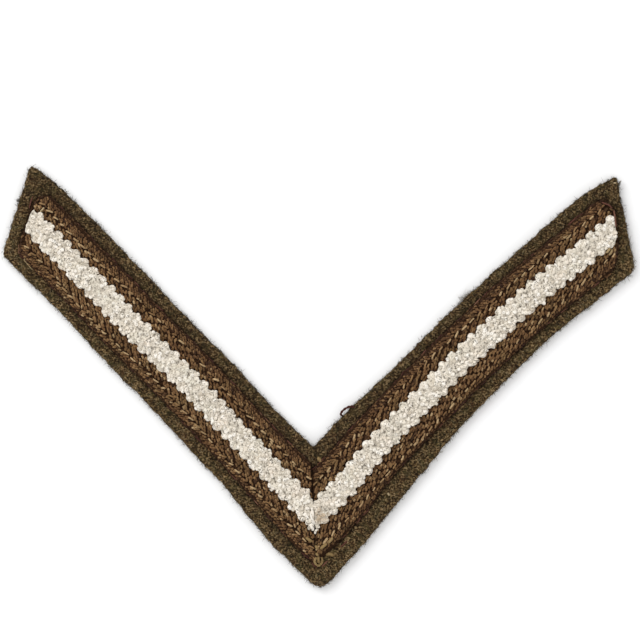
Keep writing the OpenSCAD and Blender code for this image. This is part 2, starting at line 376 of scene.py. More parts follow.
def bead_pattern():
    """The loop at the stripe's edge: a fat ring of yarn, its middle pulled nearly shut."""
    bead = loop_pattern(12, 6, 0.47)
    edit(bead, lambda co: co.z < -0.05, bpy.ops.transform.resize,
         value=(1.1, 1.1, 1.3), center_override=(0, 0, 0))
    return lift_out(bead)


def tail_pattern():
    """A fibre, thickest in its middle, that tapers to both ends."""
    fibre = rod_pattern(3, 3)
    edit(fibre, lambda co: abs(co.x) > 0.4, bpy.ops.transform.resize,
         value=(1, 0.25, 0.25), center_override=(0, 0, 0))
    return lift_out(fibre)


def stitch_pattern():
    """One stitch of sewing thread, pulled down into the cloth at both ends."""
    stitch = rod_pattern(6, 6)
    edit(stitch, lambda co: abs(co.x) > 0.25, bpy.ops.transform.translate, value=(0, 0, -0.2))
    edit(stitch, lambda co: abs(co.x) > 0.45, bpy.ops.transform.translate, value=(0, 0, -1.2))
    return lift_out(stitch)


# Meshes of many copies


def unit(vectors):
    return vectors / np.linalg.norm(vectors, axis=-1, keepdims=True)


def mesh_piece(name, points, corners, starts):
    """A piece from its points, the point of each face corner, and each face's first corner."""
    mesh = bpy.data.meshes.new(name)
    mesh.vertices.add(len(points))
    mesh.vertices.foreach_set("co", points.astype(np.float32).ravel())
    mesh.loops.add(len(corners))
    mesh.loops.foreach_set("vertex_index", corners.astype(np.int32))
    mesh.polygons.add(len(starts))
    mesh.polygons.foreach_set("loop_start", starts.astype(np.int32))
    mesh.update(calc_edges=True)
    mesh.shade_smooth()
    piece = bpy.data.objects.new(name, mesh)
    bpy.context.scene.collection.objects.link(piece)
    return piece


def spread(values, count):
    """The same number for every copy, or one number each."""
    return np.broadcast_to(np.asarray(values, float), (count,))


class Heap:
    """Copies of one pattern, gathered to be made as one mesh."""

    # Share of a copy's square that is left free on each side
    MARGIN = 0.1

    def __init__(self, pattern):
        self.pattern = pattern
        self.parts = []

    def add(self, centre, heading, up, length, width, height, tone, bend=0.0):
        """Copies at these centres. Each has the way its length points, its upper side, its
        three sizes, a tone from 0, dark, to 1, pale, and how far its middle bows sideways."""
        count = len(centre)
        heading, up = (np.broadcast_to(x, (count, 3)) for x in (heading, up))
        size = np.stack([spread(x, count) for x in (length, width, height)], axis=-1)
        rest = [spread(tone, count), spread(bend, count)]
        self.parts.append([np.asarray(centre, float), heading, up, size, *rest])

    def piece(self, name):
        """All the copies as one piece."""
        centre, heading, up, size, tone, bend = (
            np.concatenate([part[k] for part in self.parts]) for k in range(6))
        pattern = self.pattern
        shape = np.array([v.co for v in pattern.vertices])
        corners = np.array([loop.vertex_index for loop in pattern.loops])
        starts = np.array([face.loop_start for face in pattern.polygons])
        x = unit(heading)
        y = unit(np.cross(up, x))
        z = np.cross(x, y)
        local = shape[None] * size[:, None]
        local[..., 1] += bend[:, None] * (1 - 4 * shape[None, :, 0] ** 2)
        axes = np.stack([x, y, z], axis=1)
        points = centre[:, None] + np.einsum("kpi,kij->kpj", local, axes)
        count, step = len(centre), np.arange(len(centre))[:, None]
        piece = mesh_piece(name, points.reshape(-1, 3),
                           (corners[None] + step * len(shape)).ravel(),
                           (starts[None] + step * len(corners)).ravel())
        self.map_copies(piece.data, count)
        tones = piece.data.attributes.new("tone", "FLOAT", "POINT")
        tones.data.foreach_set("value", np.repeat(tone, len(shape)).astype(np.float32))
        return piece

    def map_copies(self, mesh, count):
        """The pattern's own map, which the yarn's twist follows, and a map that gives each copy
        a square of its own."""
        own = np.array([loop.uv for loop in self.pattern.uv_layers[0].data])
        side = math.ceil(math.sqrt(count))
        cell = np.stack([np.arange(count) % side, np.arange(count) // side], axis=-1)
        squares = (cell[:, None] + self.MARGIN + (1 - 2 * self.MARGIN) * np.clip(own, 0, 1)) / side
        for name, where in (("Yarn", np.tile(own, (count, 1))), ("OFBake", squares)):
            layer = mesh.uv_layers.new(name=name)
            layer.data.foreach_set("uv", where.astype(np.float32).ravel())


class Strands:
    """Free lengths of yarn, thread and fibre, gathered to be made as one mesh."""

    # Steps from one of a strand's points to the next
    STEPS = 5
    # Share of the width that is left at the ends, and how fast it grows from there
    END_WIDTH = 0.45
    END_GROWTH = 6
    # Direction that no strand runs along
    ASKEW = (0.31, 0.17, 1)
    # Width of a ply as a share of the two together
    PLY_WIDTH = 0.58
    # In a strand's square of the map: the corner and size of its side, and the heights of its
    # two ends and their radius
    MAP_CORNER = 0.08
    MAP_SIZE = (0.84, 0.76)
    MAP_ENDS = (0.92, 0.96)
    MAP_RADIUS = 0.015

    def __init__(self, sides=6):
        self.sides = sides
        self.parts = []

    def add(self, points, width, tone):
        """A round strand on a smooth curve through the points, thinner at its ends."""
        path = self.path(points)
        along = unit(np.gradient(path, axis=0))
        side = [unit(np.cross(along[0], self.ASKEW))]
        for tangent in along[1:]:
            side.append(unit(side[-1] - tangent * (side[-1] @ tangent)))
        side = np.array(side)
        self.parts.append((path, side, np.cross(side, along), width, tone))

    def path(self, points):
        """Places at even steps of a smooth curve through the points."""
        steps = np.linspace(0, len(points) - 1, self.STEPS * (len(points) - 1) + 1)
        return np.array([self.curve(points, t) for t in steps])

    def curve(self, points, t):
        """Place at t on a smooth curve that passes through point k at t = k."""
        points = np.asarray(points, float)
        last = len(points) - 1
        i = min(int(t), last - 1)
        f = t - i
        return smooth(*(points[min(max(i + k, 0), last)] for k in (-1, 0, 1, 2)), f)

    def twisted(self, points, width, tone, turns):
        """Two plies twisted round each other, width across in all."""
        path = self.path(points)
        along = unit(np.gradient(path, axis=0))
        side = unit(np.cross(along, self.ASKEW))
        up = np.cross(side, along)
        angle = math.tau * turns * np.linspace(0, 1, len(path))[:, None]
        for ply in (0, math.pi):
            swing = np.cos(angle + ply) * side + np.sin(angle + ply) * up
            self.add(path[::2] + swing[::2] * width / 4, width * self.PLY_WIDTH, tone)

    def piece(self, name):
        """All the strands as one piece, each closed at both ends."""
        points, corners, starts, yarn, squares, tones = [], [], [], [], [], []
        grid = math.ceil(math.sqrt(len(self.parts)))
        turn = math.tau * np.arange(self.sides) / self.sides
        ring = np.stack([np.cos(turn), np.sin(turn)], axis=-1)
        for number, (path, side, up, width, tone) in enumerate(self.parts):
            base = sum(len(p) for p in points)
            count = len(path)
            run = np.linspace(0, 1, count)
            taper = self.END_WIDTH + self.END_GROWTH * np.minimum(run, 1 - run)
            radius = width / 2 * np.minimum(1, taper)
            swing = ring[:, :1, None] * side + ring[:, 1:, None] * up
            points.append((path + swing * radius[:, None]).transpose(1, 0, 2).reshape(-1, 3))
            tones.append(np.full(count * self.sides, tone))
            cell = np.array([number % grid, number // grid])
            for k in range(count - 1):
                for c in range(self.sides):
                    d = (c + 1) % self.sides
                    quad = [(k, c), (k, d), (k + 1, d), (k + 1, c)]
                    starts.append(len(corners))
                    corners += [base + row * self.sides + column for row, column in quad]
                    edge = np.array([(c, k), (c + 1, k), (c + 1, k + 1), (c, k + 1)], float)
                    edge /= (self.sides, count - 1)
                    yarn.append(edge)
                    squares.append((cell + self.MAP_CORNER + edge * self.MAP_SIZE) / grid)
            for row, place, way in zip((0, count - 1), self.MAP_ENDS, (-1, 1)):
                starts.append(len(corners))
                corners += [base + row * self.sides + c for c in range(self.sides)[::way]]
                yarn.append(ring[::way] * 0.1 + 0.5)
                squares.append((cell + (0.5, place) + ring[::way] * self.MAP_RADIUS) / grid)
        piece = mesh_piece(name, np.concatenate(points), np.array(corners), np.array(starts))
        for label, where in (("Yarn", yarn), ("OFBake", squares)):
            layer = piece.data.uv_layers.new(name=label)
            layer.data.foreach_set("uv", np.concatenate(where).astype(np.float32).ravel())
        shade = piece.data.attributes.new("tone", "FLOAT", "POINT")
        shade.data.foreach_set("value", np.concatenate(tones).astype(np.float32))
        edit(piece, lambda co: True, bpy.ops.mesh.normals_make_consistent, inside=False)
        return piece


# Materials


class Value:
    """A shader socket that Python's operators work on: each one adds a Math node."""

    def __init__(self, paint, socket):
        self.paint, self.socket = paint, socket

    def out(self, name):
        """Another output of the same node."""
        return Value(self.paint, self.socket.node.outputs[name])

    def math(self, operation, first, second):
        return self.paint.node("ShaderNodeMath", {"operation": operation}, {0: first, 1: second})

    def __add__(self, other):
        return self.math("ADD", self, other)

    def __radd__(self, other):
        return self.math("ADD", other, self)

    def __mul__(self, other):
        return self.math("MULTIPLY", self, other)

    def __rmul__(self, other):
        return self.math("MULTIPLY", other, self)


class Paint:
    """One material and its nodes."""

    def __init__(self, name):
        self.material = bpy.data.materials.new(name)
        self.material.use_nodes = True
        self.tree = self.material.node_tree
        self.shader = self.tree.nodes["Principled BSDF"]

    def node(self, kind, settings, inputs):
        """Adds a node, with its settings first and then its sockets, and gives its first output."""
        node = self.tree.nodes.new(kind)
        for key, value in settings.items():
            if key == "stops":
                self.set_stops(node.color_ramp, value)
            else:
                setattr(node, key, value)
        for key, value in inputs.items():
            self.feed(node.inputs[key], value)
        shown = [socket for socket in node.outputs if socket.enabled]
        return Value(self, shown[0])

    def feed(self, socket, value):
        if isinstance(value, Value):
            self.tree.links.new(value.socket, socket)
        elif socket.type == "RGBA":
            socket.default_value = (*value[:3], 1)
        else:
            socket.default_value = value

    def set_stops(self, ramp, stops):
        while len(ramp.elements) < len(stops):
            ramp.elements.new(0.5)
        for element, (place, color) in zip(ramp.elements, stops):
            element.position = place
            element.color = (*color, 1)

    def blend(self, share, first, second, way="MIX"):
        """One colour laid over another by a share."""
        return self.node("ShaderNodeMix", {"data_type": "RGBA", "blend_type": way},
                         {0: share, 6: first, 7: second})

    def place(self, size, turn=(0, 0, 0)):
        """The piece's own coordinates, turned, with a unit of that size along each axis."""
        where = self.node("ShaderNodeTexCoord", {}, {}).out("Object")
        scale = tuple(1 / s for s in size)
        return self.node("ShaderNodeMapping", {},
                         {"Vector": where, "Rotation": turn, "Scale": scale})

    def lumps(self, size, detail=2.0):
        """Soft noise from 0 to 1, with lumps of that size."""
        return self.node("ShaderNodeTexNoise", {},
                         {"Vector": self.place((size,) * 3), "Scale": 1.0, "Detail": detail})

    def attribute(self, name):
        return self.node("ShaderNodeAttribute", {"attribute_name": name}, {}).out("Fac")

    def clamp(self, value, low, high):
        """A value stretched so that low becomes 0 and high becomes 1, and held between them."""
        return self.node("ShaderNodeMapRange", {},
                         {"Value": value, "From Min": low, "From Max": high})

    def ramp(self, value, stops):
        return self.node("ShaderNodeValToRGB", {"stops": stops}, {"Fac": value})

    def bump(self, height, depth, strength=1.0):
        return self.node("ShaderNodeBump", {},
                         {"Height": height, "Distance": depth, "Strength": strength})

    def twist(self, turns, plies):
        """Ridges of twisted yarn, from the copies' own map."""
        around = self.node("ShaderNodeSeparateXYZ", {},
                           {"Vector": self.node("ShaderNodeUVMap", {"uv_map": "Yarn"}, {})})
        angle = (around * plies + around.out("Y") * turns) * math.tau
        return self.node("ShaderNodeMath", {"operation": "SINE"}, {0: angle})

    def finish(self, inputs):
        """Feeds the shader's sockets, by name, and gives the material."""
        for key, value in inputs.items():
            self.feed(self.shader.inputs[key], value)
        return self.material


def felt_wool():
    """Heathered olive-khaki wool: light and dark fibres matted in every direction, with painted
    shade where the stitching pulls it down, and darker on the crook's side."""
    paint = Paint("felt_wool")
    streaks = [paint.node("ShaderNodeTexNoise", {},
                          {"Vector": paint.place(size, (0, 0, math.radians(turn))),
                           "Scale": 1.0, "Detail": 1.0})
               for turn, size in ((17, (0.8 * MM, 0.16 * MM, 0.16 * MM)),
                                  (78, (0.9 * MM, 0.15 * MM, 0.15 * MM)),
                                  (141, (0.7 * MM, 0.17 * MM, 0.17 * MM)))]
    highest = streaks[0].math("MAXIMUM", streaks[0], streaks[1])
    highest = highest.math("MAXIMUM", highest, streaks[2])
    matted = highest * 0.45 + paint.lumps(0.34 * MM, 1.0) * 0.55
    wool = paint.ramp(matted, [(0.45, (0.008, 0.004, 0.002)), (0.51, (0.052, 0.030, 0.012)),
                               (0.57, (0.125, 0.079, 0.032)), (0.65, (0.28, 0.195, 0.10))])
    green = paint.clamp(paint.lumps(1.5 * MM), 0.48, 0.66)
    wool = paint.blend(green * 0.4, wool, (0.050, 0.049, 0.018))
    rust = paint.clamp(paint.lumps(2.1 * MM), 0.52, 0.68)
    wool = paint.blend(rust * 0.3, wool, (0.075, 0.034, 0.018))
    # Painted shade: near-black spots that stand for the felt's small shaded pits
    pits = paint.clamp(paint.lumps(0.62 * MM), 0.5, 0.66)
    wool = paint.blend(pits * 0.65, wool, (0.012, 0.008, 0.004))
    # Painted shade along the stitching's groove, and darker felt on the crook's side
    wool = paint.blend(paint.attribute("worn"), wool, (0.010, 0.004, 0.003))
    return paint.finish({"Base Color": wool, "Roughness": 1.0, "Specular IOR Level": 0.1,
                         "Sheen Weight": 0.03, "Normal": paint.bump(matted, 0.15 * MM)})


def loose_wool():
    """Single fibres of the felt, from near black to straw."""
    paint = Paint("loose_wool")
    wool = paint.ramp(paint.attribute("tone"), [
        (0.0, (0.012, 0.008, 0.004)), (0.4, (0.045, 0.032, 0.014)),
        (0.75, (0.105, 0.080, 0.038)), (1.0, (0.30, 0.24, 0.14))])
    return paint.finish({"Base Color": wool, "Roughness": 0.9, "Specular IOR Level": 0.15})


def brown_worsted():
    """Combed brown wool yarn, two plies twisted, with paler tan floats."""
    paint = Paint("brown_worsted")
    yarn = paint.ramp(paint.attribute("tone"), [
        (0.0, (0.030, 0.010, 0.003)), (0.45, (0.178, 0.089, 0.034)),
        (0.75, (0.295, 0.170, 0.072)), (1.0, (0.52, 0.36, 0.19))])
    yarn = paint.blend(paint.clamp(paint.lumps(0.18 * MM), 0.4, 0.7) * 0.5, yarn,
                       (0.045, 0.020, 0.008))
    yarn = paint.blend(paint.clamp(paint.lumps(3.1 * MM), 0.5, 0.66) * 0.3, yarn,
                       (0.13, 0.085, 0.03))
    return paint.finish({"Base Color": yarn, "Roughness": 0.8, "Specular IOR Level": 0.2,
                         "Sheen Weight": 0.03, "Normal": paint.bump(paint.twist(3, 2), 0.04 * MM)})


def lace_ground():
    """The ground of the lace between the floats: dark yarn, near black as painted shade of the
    gaps.
    """
    paint = Paint("lace_ground")
    grain = paint.lumps(0.3 * MM)
    # Near black: partly the yarn's own dark colour, partly painted shade of the deep gaps
    ground = paint.ramp(grain, [(0.4, (0.012, 0.005, 0.002)), (0.65, (0.045, 0.021, 0.009))])
    return paint.finish({"Base Color": ground, "Roughness": 1.0, "Specular IOR Level": 0.1,
                         "Normal": paint.bump(grain, 0.1 * MM)})


def white_cotton():
    """Soft off-white cotton, tinted cream, pink and grey in patches and soiled in specks, with a
    beige stain beside the mitre."""
    paint = Paint("white_cotton")
    yarn = paint.ramp(paint.attribute("tone"), [
        (0.0, (0.52, 0.46, 0.37)), (0.5, (0.83, 0.755, 0.64)), (1.0, (0.93, 0.88, 0.80))])
    tints = ((2.6 * MM, (0.80, 0.66, 0.52), 0.3), (3.4 * MM, (0.68, 0.66, 0.53), 0.3),
             (0.4 * MM, (0.52, 0.46, 0.37), 0.35))
    for size, tint, share in tints:
        yarn = paint.blend(paint.clamp(paint.lumps(size), 0.5, 0.68) * share, yarn, tint)
    specks = paint.clamp(paint.lumps(0.3 * MM, 1.0), 0.56, 0.62)
    soiled = paint.clamp(paint.lumps(2.3 * MM), 0.42, 0.58) * 0.5 + 0.4
    yarn = paint.blend(specks * soiled, yarn, (0.16, 0.14, 0.11))
    away = paint.node("ShaderNodeVectorMath", {"operation": "DISTANCE"},
                      {0: paint.node("ShaderNodeTexCoord", {}, {}).out("Object"),
                       1: tuple(STAIN)})
    ragged = away + paint.lumps(1.2 * MM) * 1.2 * MM
    stain = paint.clamp(ragged, 2.9 * MM, 1.3 * MM)
    yarn = paint.blend(stain * 0.62, yarn, (0.40, 0.28, 0.16))
    return paint.finish({"Base Color": yarn, "Roughness": 0.9, "Specular IOR Level": 0.2,
                         "Sheen Weight": 0.05, "Normal": paint.bump(paint.twist(2, 2), 0.05 * MM)})


def white_ground():
    """The cotton under the knots, darker towards the middle of each hole that it shows through."""
    paint = Paint("white_ground")
    grain = paint.lumps(0.4 * MM)
    cotton = paint.ramp(grain, [(0.4, (0.44, 0.39, 0.32)), (0.6, (0.72, 0.66, 0.56))])
    shown = paint.clamp(paint.attribute("tone"), 0.2, 0.9)
    cotton = paint.blend(shown, (0.10, 0.08, 0.06), cotton)
    return paint.finish({"Base Color": cotton, "Roughness": 1.0, "Specular IOR Level": 0.1,
                         "Normal": paint.bump(grain, 0.15 * MM)})


def sewing_thread():
    """Dark reddish-brown thread, faded to brown in places."""
    paint = Paint("sewing_thread")
    thread = paint.ramp(paint.attribute("tone"), [
        (0.0, (0.022, 0.005, 0.003)), (0.5, (0.062, 0.016, 0.010)),
        (0.8, (0.130, 0.048, 0.030)), (1.0, (0.24, 0.12, 0.07))])
    return paint.finish({"Base Color": thread, "Roughness": 0.7, "Specular IOR Level": 0.25,
                         "Normal": paint.bump(paint.twist(6, 2), 0.03 * MM)})


def tan_yarn():
    """Pale brown and straw-coloured yarn of the mending at the mitre."""
    paint = Paint("tan_yarn")
    yarn = paint.ramp(paint.attribute("tone"), [
        (0.0, (0.13, 0.075, 0.028)), (0.5, (0.27, 0.18, 0.075)), (1.0, (0.50, 0.38, 0.22))])
    return paint.finish({"Base Color": yarn, "Roughness": 0.85, "Specular IOR Level": 0.2,
                         "Normal": paint.bump(paint.twist(5, 2), 0.04 * MM)})


def floor_paper():
    """Plain pale floor."""
    paint = Paint("floor_paper")
    return paint.finish({"Base Color": (0.93, 0.93, 0.93), "Roughness": 0.95,
                         "Specular IOR Level": 0.1})


def dress(piece, material):
    """Gives a piece its material and its slot, and lets it ride on the patch."""
    piece.data.materials.clear()
    piece.data.materials.append(material)
    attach(piece, "root")
    return piece


# The felt

FELT_VOXEL = 0.32 * MM
# The line of stitching lies this far outside the lace's edge, over a groove in the felt
STITCH_OUT = -0.14 * MM
GROOVE_DEPTH = 0.14 * MM
GROOVE_WIDTH = 0.36 * MM
# Layers of unevenness of the cut edge and of the face: depth, and size of the lumps
FRAY = ((0.22 * MM, 2.4 * MM), (0.22 * MM, 0.75 * MM))
DIMPLES = ((0.08 * MM, 6 * MM), (0.1 * MM, 0.9 * MM))
# Painted shade in the groove: how dark it is, how much that varies and over what length. How
# much darker the felt of the crook's side is, and the most darkening of all
GROOVE_SHADE = 0.6
GROOVE_SHADE_SPREAD = 0.5
GROOVE_SHADE_LUMPS = 1.3 * MM
CROOK_DARKENING = 0.16
MOST_DARKENING = 0.92
# How far a fibre's middle lies above the felt, as shares of its width and of its raised length,
# and the spread of its bend as a share of its length
FIBRE_LIFT = (0.3, 0.45)
FIBRE_BEND = 0.15
# Tone of the nap and its spread, how much darker it is in the crook, and the groove's painted shade
NAP_TONE = 0.5
NAP_SPREAD = 0.28
CROOK_DARKER = 0.15
NAP_GROOVE_SHADE = 0.5
# Least and greatest length and width of the fibres on the faces and on the cut edge
FACE_FIBRES = (0.4 * MM, 1.5 * MM, 0.045 * MM, 0.085 * MM)
EDGE_FIBRES = (0.4 * MM, 1.3 * MM, 0.04 * MM, 0.075 * MM)
# Least upright part of a normal in the groove, on the face and on the back
GROOVE_UPRIGHT = 0.5
FACE_UPRIGHT = 0.6
BACK_UPRIGHT = 0.75
# How far the nap of the face goes on under the lace
NAP_UNDER_LACE = 0.2 * MM
# How far apart the noise of one seed and of the next lie
SEED_STEPS = (7.3, 3.1, 5.7)


def soft_noise(points, size, seed):
    """Smooth noise from -1 to 1 at each point, with lumps of that size."""
    shift = Vector([seed * step for step in SEED_STEPS])
    return np.array([noise.noise(Vector(p / size) + shift) for p in points])


def rough(points, layers, seed):
    """Layers of soft noise, added up."""
    return sum(depth * soft_noise(points, size, seed + k)
               for k, (depth, size) in enumerate(layers))


def groove_share(points):
    """From 0, away from the stitching, to 1 on its line."""
    return np.exp(-((lace_distance(points) - STITCH_OUT) / GROOVE_WIDTH) ** 2)


def mesh_points(mesh, what="co"):
    """Places or normals of a mesh's vertices."""
    values = np.empty(len(mesh.vertices) * 3, np.float32)
    mesh.vertices.foreach_get(what, values)
    return values.reshape(-1, 3).astype(float)


def move_points(mesh, points):
    """Puts a mesh's vertices at these places, none below the surface that the patch lies on."""
    points[:, 2] = np.maximum(points[:, 2], 0)
    mesh.vertices.foreach_set("co", points.astype(np.float32).ravel())


def felt_backing():
    """The V of felt: the backing's own shape, its edges softened and frayed, its face uneven and
    its surface drawn down along the stitching."""
    felt = bpy.data.objects.new("felt_backing", frame["nodes"]["backing"].data.copy())
    bpy.context.scene.collection.objects.link(felt)
    edit(felt, lambda co: True, bpy.ops.mesh.remove_doubles, threshold=0.001 * MM)
    modify(felt, "REMESH", mode="VOXEL", voxel_size=FELT_VOXEL)
    modify(felt, "SMOOTH", factor=0.5, iterations=2)
    co, normal = mesh_points(felt.data), mesh_points(felt.data, "normal")
    wall = np.linalg.norm(normal[:, :2], axis=1)
    top = np.clip(normal[:, 2], 0, 1)
    frayed, uneven = rough(co, FRAY, 1), rough(co, DIMPLES, 3)
    groove = groove_share(co)
    co[:, :2] += normal[:, :2] * (frayed * wall)[:, None]
    co[:, 2] += top * (uneven - GROOVE_DEPTH * groove)
    move_points(felt.data, co)
    felt.data.shade_smooth()
    # Painted shade along the stitching's groove, and darker felt on the crook's side
    worn = top * groove * (GROOVE_SHADE + GROOVE_SHADE_SPREAD * soft_noise(co, GROOVE_SHADE_LUMPS, 5))
    worn = worn + CROOK_DARKENING * crook_side(co)
    shade = felt.data.attributes.new("worn", "FLOAT", "POINT")
    shade.data.foreach_set("value", np.clip(worn, 0, MOST_DARKENING).astype(np.float32))
    return felt


def scatter(mesh, count, dice):
    """Places and normals spread evenly over a mesh."""
    mesh.calc_loop_triangles()
    co, normal = mesh_points(mesh), mesh_points(mesh, "normal")
    corners = np.array([t.vertices for t in mesh.loop_triangles])
    a, b, c = (co[corners[:, k]] for k in range(3))
    area = np.linalg.norm(np.cross(b - a, c - a), axis=1)
    which = dice.choice(len(area), count, p=area / area.sum())
    u, v = dice.random((2, count))
    over = u + v > 1
    u, v = np.where(over, 1 - u, u), np.where(over, 1 - v, v)
    at = a[which] + u[:, None] * (b - a)[which] + v[:, None] * (c - a)[which]
    return at, unit(normal[corners[which, 0]])


def fibres(name, at, normal, sizes, stand, tone, dice):
    """Loose fibres at places on a surface. sizes are the least and greatest length and width,
    and stand is how steeply they rise from the surface."""
    count = len(at)
    level = unit(np.cross(normal, dice.normal(size=(count, 3))))
    tilt = np.abs(dice.normal(0, stand, count))
    heading = level * np.cos(tilt)[:, None] + normal * np.sin(tilt)[:, None]
    length = dice.uniform(*sizes[:2], count)
    width = dice.uniform(*sizes[2:], count)
    lift = FIBRE_LIFT[0] * width + FIBRE_LIFT[1] * length * np.sin(tilt)
    centre = at + normal * lift[:, None]
    heap = Heap(FIBRE)
    heap.add(centre, heading, normal, length, width, width, np.clip(tone, 0, 1),
             dice.normal(0, FIBRE_BEND, count) * length)
    piece = heap.piece(name)
    move_points(piece.data, mesh_points(piece.data))
    return piece


def felt_nap(felt, name, count, wanted, sizes, stand, seed):
    """Fibres of the felt wherever wanted accepts the place and the normal, out of a count that
    would cover all of it."""
    dice = np.random.default_rng(seed)
    at, normal = scatter(felt.data, count, dice)
    kept = wanted(at, normal)
    at, normal = at[kept], normal[kept]
    tone = dice.normal(NAP_TONE, NAP_SPREAD, len(at)) - CROOK_DARKER * crook_side(at)
    # Painted shade: fibres lying in the groove are darkened
    groove = groove_share(at) * (normal[:, 2] > GROOVE_UPRIGHT)
    return fibres(name, at, normal, sizes, stand, tone - NAP_GROOVE_SHADE * groove, dice)


def on_face(at, normal):
    return (normal[:, 2] > FACE_UPRIGHT) & (lace_distance(at) > -NAP_UNDER_LACE)


def on_edge(at, normal):
    return np.abs(normal[:, 2]) < BACK_UPRIGHT


def on_back(at, normal):
    return normal[:, 2] < -BACK_UPRIGHT


# The felt's nap: name, how many fibres would cover all of it, where they are wanted, their sizes,
# how steeply they stand, and the seed
NAPS = (("felt_nap", 36000, on_face, FACE_FIBRES, 0.12, 11),
        ("felt_edge_nap", 34000, on_edge, EDGE_FIBRES, 0.45, 12),
        ("felt_back_nap", 16000, on_back, FACE_FIBRES, 0.1, 13))


# The lace

# The ground under the floats: spacing of its rows, its columns, how deep it lies under the
# band's surface, the share of that which is left at the rim, and how far it reaches into the felt
GROUND_STEP = 0.8 * MM
GROUND_SHARES = np.linspace(-1, 1, 33)
GROUND_SINK = 0.3 * MM
RIM_SINK = 0.2
GROUND_FOOT = 0.05 * MM
# The ends slant, so rows of points are fitted between them in this many rounds
FITTING_ROUNDS = 3
# How far out the outermost columns of a sheet lie, as a share of its half width
OUTERMOST = 0.995

# Ends of warp between the stripe and the pale stitches: how far the first one lies from the
# middle and each from the last, how far along each one's pits are from the last one's, and how
# near they come to the pale stitches. An end has a pit and a few floats for each knot, which
# lie this many millimetres past the pit
NEAR_ENDS = 7
NEAR_OFF = 2.54 * MM
WARP_STEP = 0.4 * MM
TWILL_SHIFT = 0.65 * MM
PALE_MARGIN = 0.28 * MM
NEAR_FLOATS = (0.65, 1.3, 1.95)
# Floats in a notch between two knots: how far past the knot, and how far from the middle, in
# millimetres
NOTCH_FLOATS = ((1.0, 2.12), (1.6, 2.14), (1.3, 2.36))
# Ends of warp outside the pale stitches: how far each lies from the last, its shift along, and
# how much darker it is
FAR_ENDS = 4
FAR_STEP = 0.38 * MM
FAR_SHIFT = 0.17 * MM
FAR_FADE = 0.04
# Bare rim of the lace, under the stitching, how far inside the edge its own floats run, and the
# spread of their slant in degrees
RIM_W = 0.5 * MM
RIM_INSET = 0.3 * MM
RIM_TURN_SPREAD = 10
# How far the floats keep from the mitre and from the slanted end
MITRE_MARGIN = 0.25 * MM
END_MARGIN = 0.7 * MM
# How far floats stray across the arm, as a share of how far they stray along it
STRAY_ACROSS = 0.5

Float = namedtuple("Float", "pitch length width slant tone sink stray")
# Floats of a band: pitch, length and width in millimetres, slant in degrees, tone, and how far
# they lie under the band's surface and stray, in millimetres
NEAR = Float(2.6, 0.78, 0.43, 26, 0.5, 0, 0.1)
NOTCH = Float(2.6, 0.62, 0.40, 78, 0.3, -0.02, 0.06)
PALE = Float(1.98, 1.30, 0.38, 15, 0.88, -0.08, 0.08)
FAR = Float(0.66, 0.70, 0.40, 30, 0.48, 0, 0.09)
# The rim's low tone is painted shade of the lace's sunken, rolled edge
RIM = Float(0.867, 0.80, 0.34, 10, 0.08, 0.04, 0.09)
# Every float's thickness and depth under the surface in millimetres, the spread of its sizes,
# of its height, of its tone, of its bend and of its slant, and the steepest that it leans
FLOAT_THICK = 0.46
FLOAT_SINK = 0.14
SIZE_SPREAD = 0.12
HEIGHT_SPREAD = 0.04
TONE_SPREAD = 0.21
BEND_SPREAD = 0.07
TURN_SPREAD = 9
MOST_LEAN = 0.8
# Share of the band's width over which a float's lean is read
LEAN_SPAN = 0.12


def closed_sheet(name, top, bottom):
    """A closed mesh between two grids of points."""
    rows, columns = top.shape[:2]
    index = np.arange(rows * columns).reshape(rows, columns)

    def quads(a, b, c, d):
        return np.stack([x.ravel() for x in (a, b, c, d)], axis=-1)

    upper = quads(index[:-1, :-1], index[1:, :-1], index[1:, 1:], index[:-1, 1:])
    lower = quads(index[:-1, 1:], index[1:, 1:], index[1:, :-1], index[:-1, :-1]) + rows * columns
    rim = np.concatenate([index[:, 0], index[-1, 1:], index[-2::-1, -1], index[0, -2:0:-1]])
    after = np.roll(rim, -1)
    sides = quads(rim, rim + rows * columns, after + rows * columns, after)
    faces = np.concatenate([upper, lower, sides])
    points = np.concatenate([top.reshape(-1, 3), bottom.reshape(-1, 3)])
    piece = mesh_piece(name, points, faces.ravel(), 4 * np.arange(len(faces)))
    edit(piece, lambda co: True, bpy.ops.mesh.normals_make_consistent, inside=False)
    return piece


def lace_sheet(arm):
    """The woven ground of one lace, a closed strip from the mitre to its slanted end."""
    count = math.ceil(arm.reach / GROUND_STEP)
    share = np.sin(GROUND_SHARES * math.pi / 2)[None, :] * OUTERMOST
    run = np.linspace(0, 1, count)[:, None]
    s = np.broadcast_to(run * arm.reach, (count, share.size))
    for _ in range(FITTING_ROUNDS):
        v = arm.middle(s) + arm.half(s) * share
        s = arm.first(v) + (arm.last(v) - arm.first(v)) * run
    off = np.abs(arm.half(s) * share)
    band = (off - SEAT_HALF) / (arm.half(s) - SEAT_HALF)
    sink = GROUND_SINK * np.clip(2 - 2 * band, RIM_SINK, 1)
    top = arm.spot(s, v, np.where(band > 0, band_height(band), SEAT_Z) - sink)
    return closed_sheet(f"{arm.name}_lace_ground", top, arm.spot(s, v, FELT_T - GROUND_FOOT))


